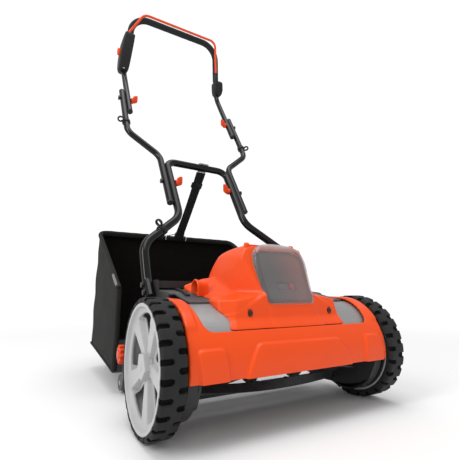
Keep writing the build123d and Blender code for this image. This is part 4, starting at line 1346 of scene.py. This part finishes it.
# light trim on the left front of the rim
p0 = side_pt(np.array([0.02]), np.array([1.0]))[0]
p1 = side_pt(np.array([0.17]), np.array([1.0]))[0]
V, F = tube(np.array([(-HB - 1.0, p0[0], p0[1] + 1.5), (-HB - 1.0, p1[0], p1[1] + 1.5)]), lambda i, s: 3.4)
piece("rim_trim", V, F, "trim_grey", "catcher", smooth=50)

# strap: slightly slack webbing from the rear rim to the hook, with a sewn end and a slider
sa, sb = np.array([21, 541.0, 392]), np.array([21, 366.0, 571.5])
ns = 60
tl = np.linspace(0, 1, ns)
sdv = (sb - sa) / np.linalg.norm(sb - sa)
snv = np.array([0, sdv[2], -sdv[1]])
rows = []
for t in tl:
    c = sa + (sb - sa) * t + snv * (3.5 * math.sin(math.pi * t)) * (1 if snv[2] < 0 else -1)
    tw = math.radians(10) * math.sin(math.pi * t)
    ex = np.array([math.cos(tw), 0, 0]) + snv * math.sin(tw)
    en = np.cross(sdv, ex)
    rows.append(super_sec(c, ex, en, 15.0, 0.9, 8.0, 28))
V, F = loft(rows)
strap = piece("strap_web", V, F, "webbing", "catcher", replaces=["catcher_strap"], smooth=60)
c = sa + (sb - sa) * 0.82
V1 = loft([super_sec(c + sdv * k, (1, 0, 0), snv, 17.5 * g, 3.0 * g, 6, 32) for k, g in ((-9, 0.9), (-8, 1), (8, 1), (9, 0.9))])
c = sa + (sb - sa) * 0.05
V2 = loft([super_sec(c + sdv * k, (1, 0, 0), snv, 16.2 * g, 2.2 * g, 6, 32) for k, g in ((-12, 0.9), (-11, 1), (11, 1), (12, 0.9))])
V, F = joined(V1)
piece("strap_slider", V, F, "black_plastic", "catcher", smooth=40)
V, F = joined(V2)
piece("strap_sewn_end", V, F, "webbing", "catcher", smooth=40)

# deck rib seen over the wheel
V, F = loft([super_sec((x, y, z), (1, 0, 0), (0, 0, 1), 4.5, 2.4, 5, 24) for x, y, z in
             ((-158, 30, 209.5), (-154, 60, 216.8), (-148, 112, 221.5))])
piece("deck_rib", V, F, "black_plastic", "chassis", smooth=40)

# ---------------------------------------------------------------- stage, light, camera
me = bpy.data.meshes.new("floor")
S = 60.0
n = 2
me.from_pydata([(-S, -S, -0.0004), (S, -S, -0.0004), (S, S, -0.0004), (-S, S, -0.0004)], [], [(0, 1, 2, 3)])
fl = bpy.data.objects.new("floor", me)
bpy.context.scene.collection.objects.link(fl)
fm = bpy.data.materials.new("floor_pale")
fm.use_nodes = True
fb = fm.node_tree.nodes["Principled BSDF"]
fb.inputs["Roughness"].default_value = 0.9
fb.inputs["Specular IOR Level"].default_value = 0.1
fn = fm.node_tree.nodes.new("ShaderNodeTexNoise")
fn.inputs["Scale"].default_value = 3.0
fr = fm.node_tree.nodes.new("ShaderNodeValToRGB")
fr.color_ramp.elements[0].color = (0.90, 0.90, 0.90, 1)
fr.color_ramp.elements[1].color = (0.92, 0.92, 0.92, 1)
fm.node_tree.links.new(fn.outputs["Fac"], fr.inputs["Fac"])
fm.node_tree.links.new(fr.outputs["Color"], fb.inputs["Base Color"])
# the floor runs out into the white backdrop well away from the machine
fc = fm.node_tree.nodes.new("ShaderNodeTexCoord")
fv = fm.node_tree.nodes.new("ShaderNodeVectorMath")
fv.operation = "LENGTH"
fm.node_tree.links.new(fc.outputs["Object"], fv.inputs[0])
fmr = fm.node_tree.nodes.new("ShaderNodeMapRange")
fmr.interpolation_type = "SMOOTHSTEP"
fmr.inputs["From Min"].default_value = 0.55
fmr.inputs["From Max"].default_value = 1.9
fm.node_tree.links.new(fv.outputs["Value"], fmr.inputs["Value"])
fe = fm.node_tree.nodes.new("ShaderNodeEmission")
fe.inputs["Strength"].default_value = 1.0
fx = fm.node_tree.nodes.new("ShaderNodeMixShader")
fm.node_tree.links.new(fmr.outputs[0], fx.inputs[0])
fm.node_tree.links.new(fb.outputs[0], fx.inputs[1])
fm.node_tree.links.new(fe.outputs[0], fx.inputs[2])
fm.node_tree.links.new(fx.outputs[0], fm.node_tree.nodes["Material Output"].inputs[0])
me.materials.append(fm)
fl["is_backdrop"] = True

w = bpy.data.worlds.new("studio")
bpy.context.scene.world = w
w.use_nodes = True
nt = w.node_tree
bg = nt.nodes["Background"]
bg.inputs["Color"].default_value = (1, 1, 1, 1)
bg.inputs["Strength"].default_value = 0.67
bg2 = nt.nodes.new("ShaderNodeBackground")
bg2.inputs["Color"].default_value = (1, 1, 1, 1)
bg2.inputs["Strength"].default_value = 1.05
lp = nt.nodes.new("ShaderNodeLightPath")
mixs = nt.nodes.new("ShaderNodeMixShader")
nt.links.new(lp.outputs["Is Camera Ray"], mixs.inputs[0])
nt.links.new(bg.outputs[0], mixs.inputs[1])
nt.links.new(bg2.outputs[0], mixs.inputs[2])
nt.links.new(mixs.outputs[0], nt.nodes["World Output"].inputs[0])


def area(name, loc, target, size, power):
    d = bpy.data.lights.new(name, "AREA")
    d.shape = "RECTANGLE"
    d.size, d.size_y = size
    d.energy = power
    o = bpy.data.objects.new(name, d)
    bpy.context.scene.collection.objects.link(o)
    o.location = loc
    o.rotation_euler = (Vector(target) - Vector(loc)).to_track_quat("-Z", "Y").to_euler()
    return o


area("key", (-2.4, -0.6, 2.0), (0, -0.05, 0.35), (0.7, 2.2), 34)
area("top", (-0.2, -0.3, 3.2), (0, 0, 0.2), (2.2, 2.2), 40)

cam = bpy.data.cameras.new("camera")
cam.lens = 27.38
cam.sensor_width = 36.0
cam.clip_start = 0.02
co = bpy.data.objects.new("camera", cam)
bpy.context.scene.collection.objects.link(co)
co.location = (-0.4101, -0.80397, 0.2170)
co.rotation_euler = Vector((0.49055, 0.85411, 0.17281)).to_track_quat("-Z", "Y").to_euler()
bpy.context.scene.camera = co
bpy.context.scene.view_settings.view_transform = "Standard"

lo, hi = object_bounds()
